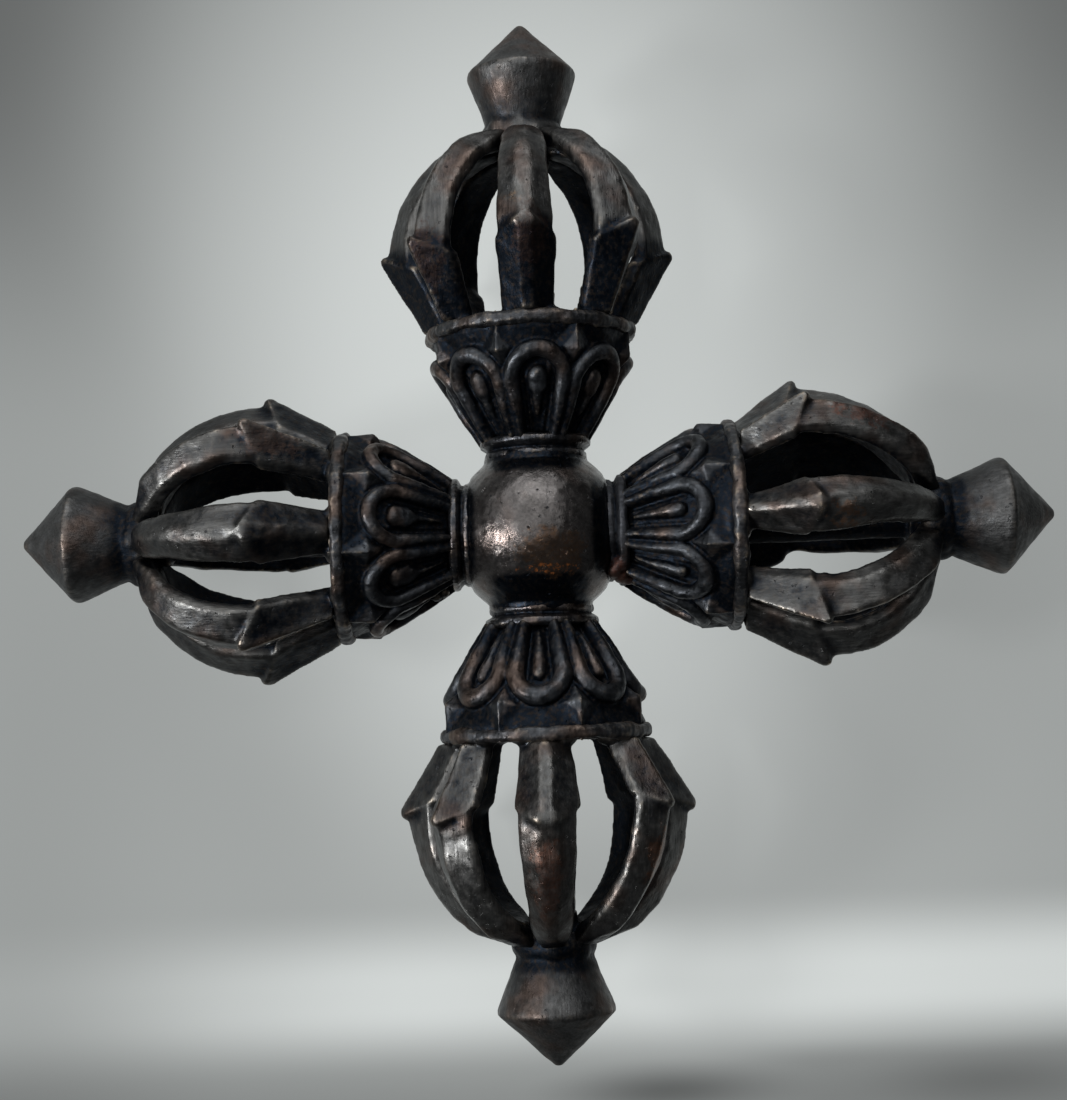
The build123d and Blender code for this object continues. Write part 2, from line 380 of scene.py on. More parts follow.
@dataclass(frozen=True)
class HandWork:
    """How a skin is fused, softened and left uneven.

    The voxel is in millimetres; the rest are numbers of steps. Points are rounded off further in
    so many levels.
    """

    voxel: float
    softening: int
    layers: tuple[Unevenness, ...]
    near_steps: int = 5
    far_steps: int = 45
    rounding: int = 12
    levels: int = 10

    def fuse(self, piece: bpy.types.Object) -> None:
        """Fuses all shells of the piece into one closed surface.

        Args:
            piece: The object.
        """
        pick(piece)
        fusing = piece.modifiers.new("fuse", "REMESH")
        fusing.mode = "VOXEL"
        fusing.voxel_size = self.voxel * MM
        bpy.ops.object.modifier_apply(modifier=fusing.name)

    def soften(self, piece: bpy.types.Object) -> None:
        """Rounds the edges of the piece.

        Args:
            piece: The object.
        """
        pick(piece)
        rounding = piece.modifiers.new("soften", "SMOOTH")
        rounding.factor = 0.5
        rounding.iterations = self.softening
        bpy.ops.object.modifier_apply(modifier=rounding.name)

    def round_off(self, piece: bpy.types.Object, shares: np.ndarray) -> None:
        """Rounds some points of the piece further.

        Args:
            piece: The object.
            shares: How much each point is rounded, from 0 to 1.
        """
        chosen = piece.vertex_groups.new(name="rounder")
        for step in range(1, self.levels + 1):
            level = np.flatnonzero(np.round(shares * self.levels) == step)
            chosen.add(level.tolist(), step / self.levels, "REPLACE")
        rounding = piece.modifiers.new("round off", "SMOOTH")
        rounding.factor = 0.5
        rounding.iterations = self.rounding
        rounding.vertex_group = chosen.name
        bpy.ops.object.modifier_apply(modifier=rounding.name)
        piece.vertex_groups.clear()

    def work(self, piece: bpy.types.Object, rounder: Shares | None = None) -> None:
        """Runs the whole treatment on the piece and records its relief.

        Args:
            piece: The object; its mesh is replaced by the finished skin.
            rounder: Says from the points' places how much further each is rounded, from 0 to 1.
        """
        self.fuse(piece)
        self.soften(piece)
        if rounder:
            self.round_off(piece, rounder(points_of(piece.data)))
        for layer in self.layers:
            layer.add(piece)
        keep_in_bounds(piece)
        bpy.ops.object.shade_smooth()
        record_relief(piece.data, self.voxel * MM, self.near_steps, self.far_steps)


def lump(place: Matrix, spot: Triple, size: Triple, name: str) -> bpy.types.Object:
    """Adds one lump of braze.

    Args:
        place: The axes that it lies in.
        spot: Its middle in those axes, in millimetres.
        size: Its half sizes along those axes, in millimetres.
        name: The lump's name.

    Returns:
        The lump.
    """
    bpy.ops.mesh.primitive_ico_sphere_add(subdivisions=3, radius=1.0)
    blob = bpy.context.object
    blob.name = name
    pick_points(blob, lambda point: True)
    bpy.ops.transform.resize(value=size, center_override=(0, 0, 0))
    bpy.ops.transform.translate(value=spot)
    close_edit()
    blob.data.transform(place @ Matrix.Scale(MM, 4))
    return blob


def ring(arm: Arm, major: float, minor: float, station: float) -> bpy.types.Object:
    """Adds a ring of braze round an arm's axis.

    Args:
        arm: The arm.
        major: The ring's radius in millimetres.
        minor: Half its thickness in millimetres.
        station: Its place along the arm in millimetres.

    Returns:
        The ring.
    """
    bpy.ops.mesh.primitive_torus_add(major_radius=major, minor_radius=minor, location=(0, 0, 0))
    bead = bpy.context.object
    bead.data.transform(arm.place() @ Matrix.Translation((0, 0, station * MM)) @ Matrix.Scale(MM, 4))
    return bead


def keep_in_bounds(piece: bpy.types.Object) -> None:
    """Wears a skin off where it would pass the frame's own box, as on the faces that it rests on.

    Args:
        piece: The skin.
    """
    places = points_of(piece.data)
    low, high = CAD_BOUNDS
    set_points(piece.data, np.clip(places, np.array(low), np.array(high)))


def spread(places: np.ndarray, edges: np.ndarray, steps: int) -> np.ndarray:
    """Averages each point with its neighbours a number of times.

    Args:
        places: Rows of x, y and z.
        edges: Rows of two point numbers.
        steps: How often to average.

    Returns:
        The averaged places.
    """
    count = len(places)
    both = np.concatenate((edges[:, 0], edges[:, 1]))
    other = np.concatenate((edges[:, 1], edges[:, 0]))
    share = np.maximum(np.bincount(both, minlength=count), 1)
    for _ in range(steps):
        sums = [np.bincount(both, weights=places[other, axis], minlength=count) for axis in range(3)]
        places = (places + np.stack(sums, axis=1) / share[:, None]) / 2
    return places


def record_relief(mesh: bpy.types.Mesh, voxel: float, near_steps: int, far_steps: int) -> None:
    """Stores how far each point stands out of, or lies in, its surroundings.

    Args:
        mesh: The finished skin.
        voxel: The skin's grain in metres.
        near_steps: Averaging steps for the fine relief.
        far_steps: Averaging steps for the broad relief.
    """
    places, outward = points_of(mesh), normals_of(mesh)
    flat = np.empty(len(mesh.edges) * 2, dtype=np.int32)
    mesh.edges.foreach_get("vertices", flat)
    edges = flat.reshape(-1, 2)
    near = spread(places, edges, near_steps)
    far = spread(near, edges, far_steps)
    for label, calm in (("ridge", near), ("swell", far)):
        stands = np.einsum("ij,ij->i", places - calm, outward) / voxel
        mesh.attributes.new(label, "FLOAT", "POINT").data.foreach_set("value", stands.astype(np.float32))


def record_lie(
    mesh: bpy.types.Mesh, place: Matrix, number: int, painted_shading: Shares | None = None,
) -> None:
    """Stores each point's place and painted shade in the arm's own axes, for patterns that follow it.

    Args:
        mesh: The finished skin.
        place: The arm's axes.
        number: A number that shifts the pattern, so that no two pieces share it.
        painted_shading: Says each point's painted shade, from 0 to 1, from local places in millimetres.
            Without it, the faces that look towards the arm's axis get the painted shade.
    """
    inverse = np.array(place.inverted())
    places = points_of(mesh) @ inverse[:3, :3].T + inverse[:3, 3]
    if painted_shading:
        painted_shade = painted_shading(places / MM)
    else:
        painted_shade = turned_inward(places, normals_of(mesh) @ inverse[:3, :3].T)
    # The share of painted shade, stored for the finish to darken its colour.
    mesh.attributes.new("painted_shade", "FLOAT", "POINT").data.foreach_set("value", painted_shade.astype(np.float32))
    shifted = places + np.array((0.0, 0.0, PATTERN_STEP)) * number
    lie = mesh.attributes.new("lie", "FLOAT_VECTOR", "POINT")
    lie.data.foreach_set("vector", shifted.astype(np.float32).ravel())


def stand_for(piece: bpy.types.Object, node: str, material: bpy.types.Material) -> None:
    """Dresses a finished skin and makes it stand for its node.

    Args:
        piece: The finished skin.
        node: The node that it replaces.
        material: Its finish.
    """
    piece.data.materials.clear()
    piece.data.materials.append(material)
    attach(piece, "root")
    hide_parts(node)
    log.info("%s: %d points", piece.name, len(piece.data.vertices))


# Node groups: the effects that every bronze finish shares


class Sockets(Enum):
    """Kinds of sockets on the shared effects."""

    VALUE = "NodeSocketFloat"
    COLOUR = "NodeSocketColor"
    VECTOR = "NodeSocketVector"


@dataclass
class Board:
    """A node tree being wired, with short ways to add and join its nodes."""

    tree: bpy.types.NodeTree

    def add(self, kind: str, **settings: object) -> bpy.types.Node:
        """Adds a node.

        Args:
            kind: Its kind.
            settings: What is set on it.

        Returns:
            The node.
        """
        node = self.tree.nodes.new(kind)
        for name, value in settings.items():
            setattr(node, name, value)
        return node

    def join(self, source: bpy.types.NodeSocket, target: bpy.types.NodeSocket) -> None:
        """Joins two sockets."""
        self.tree.links.new(source, target)

    def feed(self, target: bpy.types.NodeSocket, value: object) -> None:
        """Feeds a socket from another socket or sets its plain value.

        Args:
            target: The socket that is fed.
            value: A socket or a plain value.
        """
        if isinstance(value, bpy.types.NodeSocket):
            self.join(value, target)
        else:
            target.default_value = value

    def maths(
        self, operation: str, first: object, second: object = 0.0, third: object = 0.0, clamp: bool = False,
    ) -> bpy.types.NodeSocket:
        """Adds one sum of two or three values.

        Args:
            operation: The kind of sum.
            first: A socket or number.
            second: A socket or number.
            third: A socket or number.
            clamp: Whether the result is kept between 0 and 1.

        Returns:
            The socket with the result.
        """
        node = self.add("ShaderNodeMath", operation=operation, use_clamp=clamp)
        self.feed(node.inputs[0], first)
        self.feed(node.inputs[1], second)
        self.feed(node.inputs[2], third)
        return node.outputs[0]

    def plus(self, first: object, second: object, clamp: bool = False) -> bpy.types.NodeSocket:
        """Adds two sockets or numbers."""
        return self.maths("ADD", first, second, clamp=clamp)

    def minus(self, first: object, second: object) -> bpy.types.NodeSocket:
        """Takes one socket or number from another."""
        return self.maths("SUBTRACT", first, second)

    def times(self, first: object, second: object, clamp: bool = False) -> bpy.types.NodeSocket:
        """Multiplies two sockets or numbers."""
        return self.maths("MULTIPLY", first, second, clamp=clamp)

    def ramp(
        self, value: object, low: float, high: float, start: float = 0.0, end: float = 1.0,
    ) -> bpy.types.NodeSocket:
        """Maps a value smoothly from one range to another.

        Args:
            value: A socket or number.
            low: Where the result begins to change.
            high: Where it has changed.
            start: The result below.
            end: The result above.

        Returns:
            The socket with the result.
        """
        node = self.add("ShaderNodeMapRange", interpolation_type="SMOOTHSTEP")
        self.feed(node.inputs["Value"], value)
        node.inputs["From Min"].default_value = low
        node.inputs["From Max"].default_value = high
        node.inputs["To Min"].default_value = start
        node.inputs["To Max"].default_value = end
        return node.outputs[0]

    def blend(self, share: object, under: object, over: object, kind: str = "MIX") -> bpy.types.NodeSocket:
        """Mixes two colours.

        Args:
            share: How much of the upper colour shows.
            under: The lower colour.
            over: The upper colour.
            kind: The way they mix.

        Returns:
            The socket with the mixed colour.
        """
        node = self.add("ShaderNodeMix", data_type="RGBA", blend_type=kind)
        self.feed(node.inputs[0], share)
        self.feed(node.inputs[6], under)
        self.feed(node.inputs[7], over)
        return node.outputs[2]

    def noise(
        self, vector: bpy.types.NodeSocket, size: float, detail: float = 3.0, rough: float = 0.55,
    ) -> bpy.types.NodeSocket:
        """Adds a cloud of soft noise.

        Args:
            vector: Where it is read.
            size: The size of its patches in millimetres.
            detail: How many finer layers it has.
            rough: How strong they are.

        Returns:
            The socket with its value.
        """
        node = self.add("ShaderNodeTexNoise")
        node.inputs["Scale"].default_value = 1 / (size * MM)
        node.inputs["Detail"].default_value = detail
        node.inputs["Roughness"].default_value = rough
        self.join(vector, node.inputs["Vector"])
        return node.outputs["Fac"]

    def stretched(self, vector: bpy.types.NodeSocket, scale: Triple) -> bpy.types.NodeSocket:
        """Stretches a place along the axes.

        Args:
            vector: The place.
            scale: How much each axis is scaled.

        Returns:
            The socket with the stretched place.
        """
        node = self.add("ShaderNodeMapping")
        self.join(vector, node.inputs["Vector"])
        node.inputs["Scale"].default_value = scale
        return node.outputs[0]


def group(
    name: str, inputs: Iterable[tuple[str, Sockets, object]], outputs: Iterable[tuple[str, Sockets]],
) -> tuple[Board, dict, dict]:
    """Starts a shader node group with named sockets.

    Args:
        name: The group's name.
        inputs: Name, kind and plain value of each input.
        outputs: Name and kind of each output.

    Returns:
        The board to wire, the inputs by name and the outputs by name.
    """
    tree = bpy.data.node_groups.new(name, "ShaderNodeTree")
    for label, kind, value in inputs:
        socket = tree.interface.new_socket(label, in_out="INPUT", socket_type=kind.value)
        if value is not None:
            socket.default_value = value
    for label, kind in outputs:
        tree.interface.new_socket(label, in_out="OUTPUT", socket_type=kind.value)
    board = Board(tree)
    source, sink = board.add("NodeGroupInput"), board.add("NodeGroupOutput")
    return board, dict(source.outputs.items()), dict(sink.inputs.items())


def old_patina() -> bpy.types.NodeTree:
    """Builds the colour of old bronze: dark patina in the hollows, painted shade, brown faces and bright
    worn edges.

    Returns:
        The node group. It also gives how worn and how dark each place is.
    """
    board, given, result = group("old patina", (
        ("Place", Sockets.VECTOR, None),
        ("Ridge", Sockets.VALUE, 0.0),
        ("Swell", Sockets.VALUE, 0.0),
        ("Painted Shade", Sockets.VALUE, 0.0),
        ("Face", Sockets.COLOUR, (0.2, 0.16, 0.14, 1)),
        ("Tint", Sockets.COLOUR, (0.2, 0.1, 0.09, 1)),
        ("Hollow", Sockets.COLOUR, (0.02, 0.02, 0.03, 1)),
        ("Bright", Sockets.COLOUR, (0.6, 0.42, 0.3, 1)),
        ("Wear", Sockets.VALUE, 1.0),
        ("Dark Strength", Sockets.VALUE, 1.0),
    ), (("Colour", Sockets.COLOUR), ("Worn", Sockets.VALUE), ("Dark", Sockets.VALUE)))
    place = given["Place"]
    shade_weight, ragged_weight, swell_weight = 1.6, 2.2, 0.10
    broad = board.noise(place, size=5.0)
    mid = board.noise(place, size=1.4, detail=4.0)
    fine = board.noise(place, size=0.45, detail=4.0)
    face = board.blend(board.ramp(broad, low=0.46, high=0.68), given["Face"], given["Tint"])
    mottled = board.ramp(mid, low=0.3, high=0.72, start=0.62, end=1.25)
    streak = board.noise(board.stretched(place, STREAK_STRETCH), size=0.3, detail=3.0)
    mottled = board.times(mottled, board.ramp(streak, low=0.3, high=0.7, start=0.8, end=1.2))
    face = board.blend(1.0, face, mottled, "MULTIPLY")
    # Painted shade from the stored share joins the patina that darkens the hollows; the finish scales both.
    sunk_and_shaded = board.times(given["Swell"], -1.0)
    sunk_and_shaded = board.plus(sunk_and_shaded, board.times(given["Painted Shade"], shade_weight))
    ragged = board.times(board.minus(mid, 0.5), ragged_weight)
    dark = board.ramp(board.times(board.plus(sunk_and_shaded, ragged), given["Dark Strength"]), low=-0.5, high=1.3)
    # The darkest colour, for patina in the hollows and for painted shade.
    shade_and_patina = board.blend(board.ramp(fine, low=0.46, high=0.70), given["Hollow"], BROWN_SHADE_AND_PATINA)
    colour = board.blend(dark, face, shade_and_patina)
    edge = board.plus(given["Ridge"], board.times(given["Swell"], swell_weight))
    patchy = board.times(board.ramp(mid, low=0.36, high=0.66), board.ramp(fine, low=0.3, high=0.6))
    worn = board.times(board.ramp(edge, low=0.10, high=0.55), patchy)
    worn = board.times(worn, given["Wear"], clamp=True)
    colour = board.blend(worn, colour, given["Bright"])
    board.join(colour, result["Colour"])
    board.join(worn, result["Worn"])
    board.join(dark, result["Dark"])
    return board.tree


def casting_skin() -> bpy.types.NodeTree:
    """Builds the fine relief of the metal: cast grain, pits and file strokes along the piece.

    Returns:
        The node group. It gives a height and where the pits are.
    """
    board, given, result = group("casting skin", (
        ("Place", Sockets.VECTOR, None),
        ("Grain", Sockets.VALUE, 1.0),
        ("Pits", Sockets.VALUE, 1.0),
        ("Strokes", Sockets.VALUE, 1.0),
    ), (("Height", Sockets.VALUE), ("Pit", Sockets.VALUE)))
    place = given["Place"]
    grain = board.times(board.noise(place, size=0.28, detail=5.0, rough=0.65), given["Grain"])
    cells = board.add("ShaderNodeTexVoronoi", feature="F1")
    cells.inputs["Scale"].default_value = 1 / (PIT_SPACING * MM)
    board.join(place, cells.inputs["Vector"])
    ragged = board.ramp(board.noise(place, size=0.16, detail=3.0), low=0.3, high=0.7, start=0.5, end=1.9)
    pit = board.ramp(board.times(cells.outputs["Distance"], ragged), low=0.08, high=0.22, start=1.0, end=0.0)
    pit = board.times(pit, board.ramp(board.noise(place, size=2.3), low=0.48, high=0.62))
    pit = board.times(pit, given["Pits"], clamp=True)
    stroke = board.noise(board.stretched(place, STROKE_STRETCH), size=0.22, detail=2.0, rough=0.5)
    stroke = board.times(stroke, given["Strokes"])
    height = board.minus(board.plus(grain, stroke), board.times(pit, PIT_DEPTH))
    board.join(height, result["Height"])
    board.join(pit, result["Pit"])
    return board.tree


@dataclass(frozen=True)
class Stain:
    """A stain, warm where the patina is rubbed through or dark where soot has gathered.

    Its middle and half sizes are in millimetres. How patchy and how strong it is goes from 0 to 1.
    Its number is that of the piece's pattern, as record_lie gives it.
    """

    colour: Colour
    spot: Triple
    size: Triple
    patchy: float
    strength: float
    number: int = 0

    def share(self, board: Board, lie: bpy.types.NodeSocket) -> bpy.types.NodeSocket:
        """Finds how strongly the stain covers each place, ragged at its edge.

        Args:
            board: The material's nodes.
            lie: The place on the piece.

        Returns:
            The socket with the stain's share.
        """
        shifted = board.add("ShaderNodeVectorMath", operation="SUBTRACT")
        board.join(lie, shifted.inputs[0])
        across, side, out = self.spot
        shifted.inputs[1].default_value = (across * MM, side * MM, out * MM + PATTERN_STEP * self.number)
        scaled = board.stretched(shifted.outputs[0], tuple(1 / (part * MM) for part in self.size))
        length = board.add("ShaderNodeVectorMath", operation="LENGTH")
        board.join(scaled, length.inputs[0])
        cloudy = board.noise(lie, size=1.3, detail=5.0, rough=0.7)
        ragged = board.ramp(cloudy, low=0.3, high=0.7, start=-0.4, end=0.4)
        reach = board.plus(length.outputs["Value"], ragged)
        core = board.ramp(reach, low=0.8, high=1.15, start=self.strength, end=0.0)
        flecks = board.ramp(
            board.noise(lie, size=0.38, detail=4.0, rough=0.6), low=0.40 + 0.12 * self.patchy,
            high=0.60 + 0.08 * self.patchy, start=1 - self.patchy, end=1.0)
        return board.times(core, flecks)


BALL_STAINS = (
    Stain((0.150, 0.083, 0.045, 1), (1.5, -2.7, 8.0), (3.4, 2.3, 4.0),
          patchy=0.5, strength=0.75),
    Stain((0.90, 0.30, 0.09, 1), (0.9, -4.3, 7.1), (3.0, 0.5, 4.0),
          patchy=1.0, strength=1.0),
)
BRAZE_STAINS = (
    Stain((0.045, 0.016, 0.010, 1), (3.0, 4.9, 8.8), (2.6, 1.9, 1.9),
          patchy=0.3, strength=0.9),
)
PRONG_STAINS = (
    Stain((0.15, 0.078, 0.042, 1), (15.4, 0.9, 30.6), (3.0, 1.8, 2.2),
          patchy=0.4, strength=0.75, number=1),
    Stain((0.12, 0.052, 0.036, 1), (6.5, -10.8, 34.6), (4.5, 2.0, 3.6),
          patchy=0.4, strength=0.7, number=8),
    Stain((0.20, 0.125, 0.070, 1), (15.6, -1.6, 32.4), (2.0, 1.7, 1.6),
          patchy=0.6, strength=0.8, number=9),
    Stain((0.034, 0.020, 0.016, 1), (8.0, -12.0, 27.2), (5.0, 3.4, 4.2),
          patchy=0.5, strength=0.7, number=16),
    Stain((0.040, 0.023, 0.018, 1), (14.0, 0.4, 27.6), (3.0, 1.6, 3.4),
          patchy=0.5, strength=0.7, number=9),
    Stain((0.16, 0.072, 0.038, 1), (7.5, -11.6, 33.6), (4.0, 2.0, 3.2),
          patchy=0.5, strength=0.8, number=32),
    Stain((0.13, 0.056, 0.036, 1), (11.0, 0.4, 34.0), (6.0, 1.4, 4.0),
          patchy=0.5, strength=0.65, number=25),
    Stain((0.078, 0.049, 0.038, 1), (10.5, 10.5, 27.0), (4.5, 3.2, 3.6),
          patchy=0.5, strength=0.6, number=18),
)


@dataclass(frozen=True)
class BronzeFinish:
    """One finish of the old bronze, from its colours and the strength of each shared effect.

    Its roughness lies between smooth and rough, less where the metal is worn and more where it is
    dark. The reach of its fine relief is in millimetres.
    """

    name: str
    face: Colour
    tint: Colour = (0.088, 0.066, 0.056, 1)
    hollow: Colour = (0.0045, 0.0075, 0.0125, 1)
    bright: Colour = (0.42, 0.34, 0.25, 1)
    wear: float = 1.0
    dark_strength: float = 1.0
    painted_shading: float = 0.0
    grain: float = 0.5
    pits: float = 0.6
    strokes: float = 0.5
    smooth: float = 0.36
    rough: float = 0.62
    worn_polish: float = 0.14
    dark_dullness: float = 0.10
    pit_dark: float = 0.8
    metallic: float = 0.92
    relief: float = 0.55
    relief_reach: float = 0.12
    stains: tuple[Stain, ...] = ()

    def material(self, patina: bpy.types.NodeTree, skin: bpy.types.NodeTree) -> bpy.types.Material:
        """Wires the material.

        Args:
            patina: The shared colour effect.
            skin: The shared relief effect.

        Returns:
            The finished material.
        """
        made = bpy.data.materials.new(self.name)
        made.use_nodes = True
        board = Board(made.node_tree)
        shader = made.node_tree.nodes["Principled BSDF"]
        lie = board.add("ShaderNodeAttribute", attribute_name="lie").outputs["Vector"]
        ridge, swell, painted_shade = (
            board.add("ShaderNodeAttribute", attribute_name=label).outputs["Fac"]
            for label in ("ridge", "swell", "painted_shade"))
        # Painted shade: the stored share darkens the colour as shade would, up to this finish's weight.
        shade_share = board.ramp(painted_shade, low=0.0, high=1.0, start=0.0, end=self.painted_shading)
        colours = board.add("ShaderNodeGroup", node_tree=patina)
        for label, value in (
            ("Place", lie), ("Ridge", ridge), ("Swell", swell), ("Painted Shade", shade_share),
            ("Face", self.face), ("Tint", self.tint), ("Hollow", self.hollow), ("Bright", self.bright),
            ("Wear", self.wear), ("Dark Strength", self.dark_strength),
        ):
            board.feed(colours.inputs[label], value)
        relief = board.add("ShaderNodeGroup", node_tree=skin)
        for label, value in (
            ("Place", lie), ("Grain", self.grain), ("Pits", self.pits), ("Strokes", self.strokes),
        ):
            board.feed(relief.inputs[label], value)
        colour = colours.outputs["Colour"]
        for stain in self.stains:
            colour = board.blend(stain.share(board, lie), colour, stain.colour)
        pitted = board.blend(board.times(relief.outputs["Pit"], self.pit_dark), colour, self.hollow)
        board.join(pitted, shader.inputs["Base Color"])
        cloudy = board.noise(lie, size=0.9, detail=4.0)
        polish = board.ramp(cloudy, low=0.3, high=0.7, start=self.smooth, end=self.rough)
        polish = board.minus(polish, board.times(colours.outputs["Worn"], self.worn_polish))
        polish = board.plus(polish, board.times(colours.outputs["Dark"], self.dark_dullness), clamp=True)
        board.join(polish, shader.inputs["Roughness"])
        shader.inputs["Metallic"].default_value = self.metallic
        bump = board.add("ShaderNodeBump")
        bump.inputs["Strength"].default_value = self.relief
        bump.inputs["Distance"].default_value = self.relief_reach * MM
        board.join(relief.outputs["Height"], bump.inputs["Height"])
        board.join(bump.outputs["Normal"], shader.inputs["Normal"])
        return made


@dataclass
class Workshop:
    """The finishes of every kind of piece, made once."""

    finishes: dict[str, bpy.types.Material] = field(default_factory=dict)

    def prepare(self) -> None:
        """Makes all the materials from the two shared effects."""
        patina, skin = old_patina(), casting_skin()
        # Each finish sets how strongly painted shade darkens it.
        for finish in (
            BronzeFinish(
                "ball bronze", (0.106, 0.099, 0.096, 1), tint=(0.122, 0.098, 0.088, 1), wear=0.08, dark_strength=0.7,
                painted_shading=1.6, grain=0.45, pits=1.5, strokes=0.0, smooth=0.15, rough=0.30, stains=BALL_STAINS),
            BronzeFinish(
                "collar bronze", (0.046, 0.049, 0.056, 1), wear=0.45, dark_strength=1.4, smooth=0.24, rough=0.42),
            BronzeFinish(
                "brazed collar bronze", (0.046, 0.049, 0.056, 1), wear=0.08, dark_strength=1.5,
                smooth=0.42, rough=0.7, stains=BRAZE_STAINS),
            BronzeFinish(
                "cup bronze", (0.043, 0.047, 0.053, 1), wear=1.0, dark_strength=1.7, painted_shading=0.75,
                strokes=0.15, smooth=0.3),
            BronzeFinish("rim bronze", (0.048, 0.051, 0.056, 1), wear=0.6, dark_strength=1.3, strokes=0.1, pits=0.9),
            BronzeFinish(
                "prong bronze", (0.108, 0.108, 0.105, 1), wear=0.85, painted_shading=1.4, strokes=0.45, grain=0.3,
                smooth=0.26, rough=0.48, stains=PRONG_STAINS),
            BronzeFinish(
                "finial bronze", (0.076, 0.077, 0.077, 1), wear=0.6, painted_shading=1.2, strokes=0.5,
                smooth=0.36, rough=0.56),
        ):
            self.finishes[finish.name] = finish.material(patina, skin)
            log.info("finish %s", finish.name)


# Pieces


@dataclass
class Ball:
    """The ball, semi-polished on its faces, with the dark cups' reflections painted on where it nears the
    collars.

    The fillet of braze at each collar has a ring radius, a thickness and a place along the arm. The
    painted reflections of the dark cups begin so far out towards each arm and fade to both of its sides.
    """

    fillet: Triple = (4.55, 0.85, 7.3)
    reflection_from: dict[str, float] = field(default_factory=lambda: {
        "east": 5.1, "north": 5.5, "west": 6.0, "south": 4.3,
    })
    reflection_run: float = 1.0
    reflection_sides: Pair = (3.7, 5.6)
    work: HandWork = HandWork(0.2, softening=7, layers=(Unevenness(3.2, 0.16), Unevenness(0.8, 0.05)))

    def build(self, shop: Workshop) -> None:
        """Makes the ball's skin from its solid and the braze that flows out to the collars.

        Args:
            shop: The finishes.
        """
        skin = copy_of_node("centre_ball", "ball_skin")
        skin = joined([skin, *(ring(arm, *self.fillet) for arm in ARMS)], "ball_skin")
        self.work.work(skin)
        # The dark cups' reflections are painted into the ball's colour as shade.
        record_lie(skin.data, Matrix.Translation(BALL_CENTRE), 0, self.painted_cup_reflections)
        stand_for(skin, "centre_ball", shop.finishes["ball bronze"])

    def painted_cup_reflections(self, places: np.ndarray) -> np.ndarray:
        """Says how dark the painted reflections of the cups make the ball as it nears one of the four
        collars.

        Args:
            places: Rows of places round the ball's middle, in millimetres.

        Returns:
            A share from 0 to 1 for each place.
        """
        dark = np.zeros(len(places))
        for arm in ARMS:
            out = np.array(arm.place())[:3, 2]
            side = np.cross(out, (0.0, 0.0, 1.0))
            begins = self.reflection_from[arm.name]
            near = share_between(places @ out, begins, begins + self.reflection_run)
            dark = np.maximum(dark, near * (1 - share_between(np.abs(places @ side), *self.reflection_sides)))
        return dark


@dataclass
class NeckCollar:
    """The ring between ball and cup."""

    brazed: str = "east"
    blobs: tuple[tuple[Triple, Triple], ...] = (
        ((3.2, 4.4, 8.0), (1.2, 0.9, 0.9)),
        ((2.5, 5.0, 8.8), (1.2, 0.7, 0.9)),
        ((3.7, 3.8, 8.6), (1.0, 0.8, 1.0)),
        ((2.2, 5.3, 9.5), (0.9, 0.6, 0.7)),
    )
    work: HandWork = HandWork(0.16, softening=4, layers=(Unevenness(2.2, 0.35), Unevenness(0.6, 0.08)))

    def build(self, arm: Arm, shop: Workshop) -> None:
        """Makes one arm's collar, with the rough braze on the one that has it.

        Args:
            arm: The arm.
            shop: The finishes.
        """
        node = f"{arm.name}_neck_collar"
        skin = copy_of_node(node, f"{arm.name}_collar_skin")
        finish = shop.finishes["collar bronze"]
        if arm.name == self.brazed:
            blobs = [lump(arm.place(), spot, size, "braze") for spot, size in self.blobs]
            skin = joined([skin, *blobs], skin.name)
            finish = shop.finishes["brazed collar bronze"]
        self.work.work(skin)
        record_lie(skin.data, arm.place(), arm.number)
        stand_for(skin, node, finish)


@dataclass
class RimRing:
    """The lumpy bead ring round the cup's mouth."""

    work: HandWork = HandWork(
        0.15, softening=5, layers=(Unevenness(4.0, 0.8), Unevenness(1.7, 0.3), Unevenness(0.4, 0.07)))

    def build(self, arm: Arm, shop: Workshop) -> None:
        """Makes one arm's rim.

        Args:
            arm: The arm.
            shop: The finishes.
        """
        node = f"{arm.name}_rim_ring"
        skin = copy_of_node(node, f"{arm.name}_rim_skin")
        self.work.work(skin)
        record_lie(skin.data, arm.place(), arm.number)
        stand_for(skin, node, shop.finishes["rim bronze"])


class Tongue(Enum):
    """Shapes of the little tongue in the middle of a petal.

    Each is half the width, the head's half length, the height, and the tail's width as a share and
    its length, in millimetres.
    """

    DROP = (1.0, 1.1, 0.85, 0.62, 3.6)
    BAR = (0.7, 0.7, 0.8, 0.8, 4.6)
    WEDGE = (1.15, 0.8, 0.7, 0.3, 4.8)


